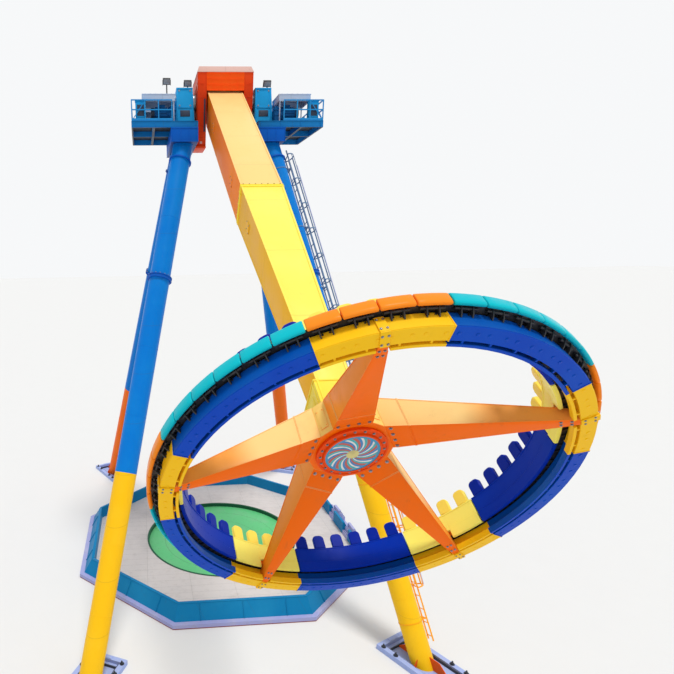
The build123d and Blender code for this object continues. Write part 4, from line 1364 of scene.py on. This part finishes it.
class RideMotors(bpy.types.Operator):
    """Finned motors, gearboxes and feet in place of the plain drives"""

    bl_idname = "pendulum.motors"
    bl_label = "Drive motors"

    def execute(self, context):
        parts = blocks((1.05, 0.66, 0.06), pair(3.25), pair(1.0), 24.23)
        parts += blocks((0.5, 0.1, 0.3), pair(3.25), pair(1.0, 0.18), 24.4)
        parts += blocks((0.3, 0.24, 0.14), pair(3.2), pair(1.0), 25.1, 0.015)
        parts += blocks((0.338, 0.77, 0.03), pair(2.68), pair(1.0), (24.4, 24.65, 24.9), 0.006)
        dark = []
        for side, y in CORNERS:
            body, neck, cowl = (facing((side * x, y, MOTOR), (side, 0, 0)) for x in (3.25, 2.87, 3.69))
            parts += [drum(0.27, 0.72, body, 28, 0.02), drum(0.3, 0.07, neck, 28, 0.01)]
            dark.append(drum(0.3, 0.18, cowl, 28, 0.03))
            for n in range(14):
                lie = body @ Matrix.Rotation(2 * pi * n / 14, 4, "Z") @ moved(0.29, 0, 0)
                parts.append(block((0.07, 0.016, 0.62), bevel=0.003, place=lie))
            parts.append(block((0.32, 0.74, 0.86), (side * 2.68, y, 24.66), 0.05, taper=(0.9, 0.8)))
        tower(parts, "motor_bodies", "motor", "drive_motors")
        tower(dark, "motor_cowls", "louvre")
        return {"FINISHED"}


class RideCanopies(bpy.types.Operator):
    """Hollow roofs on posts over the drives, with ribs and edge trim"""

    bl_idname = "pendulum.canopies"
    bl_label = "Canopies"

    def execute(self, context):
        x, y, edges = 3.4, 1.1, (CANOPY_TOP - 0.3, CANOPY_TOP - 0.02)
        roofs = blocks((0.05, 0.05, 1.25), pair(x, 0.74), pair(y, 0.69), 24.825, 0.004)
        for roof in blocks((1.6, 1.5, 0.33), pair(x), pair(y), CANOPY_TOP - 0.165):
            roofs.append(hollowed(roof, 0.05, 0.28))
        ribs = tuple(side * x + 0.26 * n - 0.65 for side in SIDES for n in range(6))
        parts = blocks((0.04, 1.46, 0.02), ribs, pair(y), CANOPY_TOP + 0.008, 0.005)
        parts += blocks((1.62, 0.02, 0.03), pair(x), pair(y, 0.757), edges, 0.005)
        parts += blocks((0.02, 1.52, 0.03), pair(x, 0.807), pair(y), edges, 0.005)
        tower(roofs, "canopy_roofs", "canopy", "canopies")
        tower(parts, "canopy_trim", "canopy")
        return {"FINISHED"}


class RideLamps(bpy.types.Operator):
    """Lenses and yokes on the floodlights"""

    bl_idname = "pendulum.lamps"
    bl_label = "Floodlight details"

    def execute(self, context):
        glass, yokes = [], []
        for spot in ((-1.85, -0.6, 26.28), (-2.95, -1.15, 26.22), (2.25, -0.6, 26.28)):
            lie = moved(*spot) @ Matrix.Rotation(radians(25), 4, "X")
            glass.append(block((0.33, 0.012, 0.22), (0, -0.089, 0), 0.004, lie))
            yokes += blocks((0.015, 0.05, 0.24), pair(0.2), 0, -0.06, 0.003, lie)
            yokes += blocks((0.34, 0.05, 0.012), 0, 0.1, (-0.09, -0.045, 0, 0.045, 0.09), 0.002, lie)
        tower(glass, "lamp_lenses", "lens")
        tower(yokes, "lamp_yokes", "bracket")
        return {"FINISHED"}


class RideLegs(bpy.types.Operator):
    """Flange rings, weld beads and bolts on the legs, and the conduit beside the ladder"""

    bl_idname = "pendulum.legs"
    bl_label = "Leg details"

    def execute(self, context):
        rings, upper, lower, bolts = [], [], [], []
        bead = [(0.498, -0.012), (0.508, -0.004), (0.508, 0.004), (0.498, 0.012)]
        for side, end in CORNERS:
            joint = leg_frame(side, end, LEG_JOINT)
            for lift in (0.01, 0.15):
                rings.append(hoop(box_section(0.502, 0.6, lift - 0.02, lift + 0.02), 40, joint))
            rings.append(hoop(box_section(0.5, 0.57, 0.0, 0.06), 40, leg_frame(side, end, 0.985)))
            bolts += [joint @ moved(x, y, 0.17) for x, y in round_places(16, 0.555)]
            for welds, shares in ((upper, (0.47, 0.6, 0.86)), (lower, (0.12, 0.24))):
                welds += [hoop(bead, 40, leg_frame(side, end, share)) for share in shares]
        leg = leg_frame(1, -1, 0.0)
        conduit = [bar((1.1, 0.0, 3.3), (1.1, 0.0, 24.6), 0.04, 0.06, leg, BACK)]
        for n in range(16):
            conduit.append(block((0.06, 0.08, 0.03), (1.085, 0, 3.4 + 1.35 * n), 0.004, leg))
        tower(conduit, "ladder_conduit", "conduit")
        tower(rings, "leg_flange_rings", "collar")
        tower(upper, "leg_welds_upper", "leg_upper")
        tower(lower, "leg_welds_lower", "leg_lower")
        tower([bolt_head(sizes().bolt * 0.7)], "leg_flange_bolts", "bolt", places=bolts)
        return {"FINISHED"}


class RideBlocks(bpy.types.Operator):
    """Leg head blocks and the leg ends up to them, with ribs and flanges"""

    bl_idname = "pendulum.blocks"
    bl_label = "Head blocks"

    def execute(self, context):
        low, high = BLOCK
        tall, middle, x = high - low, (low + high) / 2, pair(2.175)
        boxes = blocks((1.35, 4.7, tall), x, 0, middle, 0.015)
        ribs = blocks((1.36, 0.02, 0.05), x, pair(2.353), (low + 0.03, high - 0.03), 0.005)
        for across in (1.53, 1.96, 2.39, 2.82):
            ribs += blocks((0.03, 0.02, tall - 0.06), pair(across), pair(2.353), middle, 0.005)
        ribs += blocks((0.02, 0.05, tall - 0.06), pair(2.855), (-1.6, -0.8, 0, 0.8, 1.6), middle, 0.005)
        heads = []
        for side, end in CORNERS:
            ends = (leg_frame(side, end, share).translation for share in (0.97, 1.027))
            heads.append(rod(*ends, 0.497, 64))
        tower(boxes, "head_blocks", "navy", "leg_head_blocks")
        tower(heads, "leg_heads", "leg_upper")
        tower(ribs, "head_block_ribs", "navy")
        return {"FINISHED"}


class RideBases(bpy.types.Operator):
    """Anchor studs, nuts, washers and inner ribs on the base frames"""

    bl_idname = "pendulum.bases"
    bl_label = "Base details"

    def execute(self, context):
        studs, ribs, shoes = [], [], []
        splay = 0.46304
        for side, end in CORNERS:
            home = moved(side * LEG_FOOT.x, end * LEG_FOOT.y, 0)
            home @= Matrix.Rotation(-side * end * splay, 4, "Z")
            studs += [home @ moved(x, y, 0.24) for x in (-0.83, 0.83) for y in (-0.83, 0.83, -1.5, 1.5)]
            ribs += blocks((1.36, 0.05, 0.12), 0, pair(1.3), 0.12, 0.008, home)
            ribs += blocks((0.05, 3.0, 0.12), pair(0.66), 0, 0.12, 0.008, home)
            shoes += blocks((0.5, 0.2, 0.03), 0, pair(1.68), 0.25, 0.008, home)
        fixing = [
            drum(0.11, 0.02, sides=20, bevel=0.004, lift=0.01),
            drum(0.075, 0.06, sides=6, bevel=0.008, lift=0.05),
            drum(0.034, 0.14, sides=12, lift=0.09),
        ]
        tower(fixing, "anchor_nuts", "dark_bolt", places=studs)
        tower(ribs, "base_inner_ribs", "dark_bolt")
        tower(shoes, "base_shoes", "base")
        return {"FINISHED"}


class RideDeck(bpy.types.Operator):
    """Coping and ribs on the parapet, step nosings and the pit's rim"""

    bl_idname = "pendulum.deck"
    bl_label = "Deck details"

    def execute(self, context):
        coping, posts, treads = [], [], []
        half = 7.93 * 0.41421
        for n in range(8):
            turn = Matrix.Rotation(radians(45 * n), 4, "Z")
            for a, b in [(-half, half)] if n else [(-half, -1.47), (-0.53, 1.13), (2.07, half)]:
                coping.append(block((0.17, b - a - 0.01, 0.04), (7.94, (a + b) / 2, 1.0), 0.012, turn))
            for m in (-1, 0, 1) if n else SIDES:
                lie = turn @ moved(0, m * 2.2, 0)
                posts.append(bar((8.47, 0, 0.25), (8.05, 0, 0.95), 0.05, 0.03, lie, BACK))
        for x, level in ((0.35, 0.506), (0.19, 0.756)):
            treads += blocks((0.03, 0.88, 0.012), (8.285 - x, 8.285 + x), (1.6, -1.0), level, 0.003)
        tower(coping, "parapet_coping", "parapet")
        tower(posts, "parapet_ribs", "parapet")
        tower(treads, "step_nosings", "bracket")
        # Painted shade: the rim takes the pit wall's dark green.
        tower([hoop(box_section(4.645, 4.76, 0.252, 0.264), 96)], "pit_rim", "pit_wall")
        return {"FINISHED"}


class RideStage(bpy.types.Operator):
    """Pale floor, soft studio light and the camera"""

    bl_idname = "pendulum.stage"
    bl_label = "Stage"

    def execute(self, context):
        scene = context.scene
        clear_selection()
        bpy.ops.mesh.primitive_plane_add(size=900, location=(0, 0, -0.002))
        floor = bpy.context.object
        floor.name = "studio_floor"
        f = Finish("studio_floor")
        shade = f.mix(f.noise(0.6, 4, 0.6) * 0.3, (0.78, 0.78, 0.77), (0.72, 0.72, 0.71))
        floor.data.materials.append(f.end(shade, 0.85, specular=0.1))

        scene.world = bpy.data.worlds.new("studio")
        scene.world.use_nodes = True
        tree = scene.world.node_tree
        tree.nodes.clear()

        def background(tint, strength):
            node = tree.nodes.new("ShaderNodeBackground")
            node.inputs["Color"].default_value = tint
            node.inputs["Strength"].default_value = strength
            return node.outputs[0]

        path = tree.nodes.new("ShaderNodeLightPath")
        most = tree.nodes.new("ShaderNodeMath")
        most.operation = "MAXIMUM"
        choose = tree.nodes.new("ShaderNodeMixShader")
        end = tree.nodes.new("ShaderNodeOutputWorld")
        for source, target in (
            (path.outputs["Is Camera Ray"], most.inputs[0]),
            (path.outputs["Is Glossy Ray"], most.inputs[1]),
            (most.outputs[0], choose.inputs[0]),
            (background((0.92, 0.95, 1.0, 1), 0.66), choose.inputs[1]),
            (background((0.93, 0.94, 0.95, 1), 1.0), choose.inputs[2]),
            (choose.outputs[0], end.inputs[0]),
        ):
            tree.links.new(source, target)

        sun = bpy.data.objects.new("soft_sun", bpy.data.lights.new("soft_sun", "SUN"))
        sun.data.energy = 1.9
        sun.data.angle = radians(14)
        sun.data.color = (1.0, 0.97, 0.92)
        sun.rotation_euler = Vector((0.15, -0.2, 0.97)).to_track_quat("Z", "Y").to_euler()
        scene.collection.objects.link(sun)

        camera = bpy.data.objects.new("camera", bpy.data.cameras.new("camera"))
        yaw, pitch, roll = radians(3.786), radians(-15.697), radians(-1.010)
        ahead = Vector((sin(yaw) * cos(pitch), cos(yaw) * cos(pitch), sin(pitch)))
        right = Vector((cos(yaw), -sin(yaw), 0))
        up = right.cross(ahead)
        right, up = right * cos(roll) + up * sin(roll), up * cos(roll) - right * sin(roll)
        turn = Matrix((right, up, -ahead)).transposed().to_4x4()
        camera.matrix_world = moved(-4.5409, -31.7569, 17.9546) @ turn
        pixels, focus, middle = 674, 546.6, (181.02, 406.93)
        camera.data.sensor_width = 36
        camera.data.lens = focus / pixels * camera.data.sensor_width
        camera.data.shift_x = (pixels / 2 - middle[0]) / pixels
        camera.data.shift_y = (middle[1] - pixels / 2) / pixels
        camera.data.clip_end = 1000
        scene.collection.objects.link(camera)
        scene.camera = camera
        scene.view_settings.view_transform = "Standard"
        return {"FINISHED"}


PIECES = (
    RideStage, RidePaint, RideSeats, RideHeadrests, RideBrackets, RideRing, RideRingTrim, RidePanels,
    RideSpokes, RideHub, RideArm, RideCasing, RideHead, RidePlatforms, RideHousings, RideMotors,
    RideCanopies, RideLamps, RideLegs, RideBlocks, RideBases, RideDeck,
)


class RidePanel(bpy.types.Panel):
    """Lists the ride's pieces in the sidebar"""

    bl_idname = "VIEW3D_PT_pendulum_ride"
    bl_label = "Pendulum Ride"
    bl_space_type = "VIEW_3D"
    bl_region_type = "UI"
    bl_category = "Pendulum Ride"

    def draw(self, context):
        for group in (context.scene.ride_colours, context.scene.ride_sizes):
            for key in group.__annotations__:
                self.layout.prop(group, key)
        for piece in PIECES:
            self.layout.operator(piece.bl_idname)


CLASSES = (RideColours, RideSizes, *PIECES, RidePanel)


def register():
    for part in CLASSES:
        bpy.utils.register_class(part)
    bpy.types.Scene.ride_colours = bpy.props.PointerProperty(type=RideColours)
    bpy.types.Scene.ride_sizes = bpy.props.PointerProperty(type=RideSizes)


def unregister():
    del bpy.types.Scene.ride_sizes
    del bpy.types.Scene.ride_colours
    for part in reversed(CLASSES):
        bpy.utils.unregister_class(part)


def main():
    register()
    for piece in PIECES:
        group, name = piece.bl_idname.split(".")
        getattr(getattr(bpy.ops, group), name)()
    bpy.context.view_layer.update()


if __name__ == "__main__":
    main()
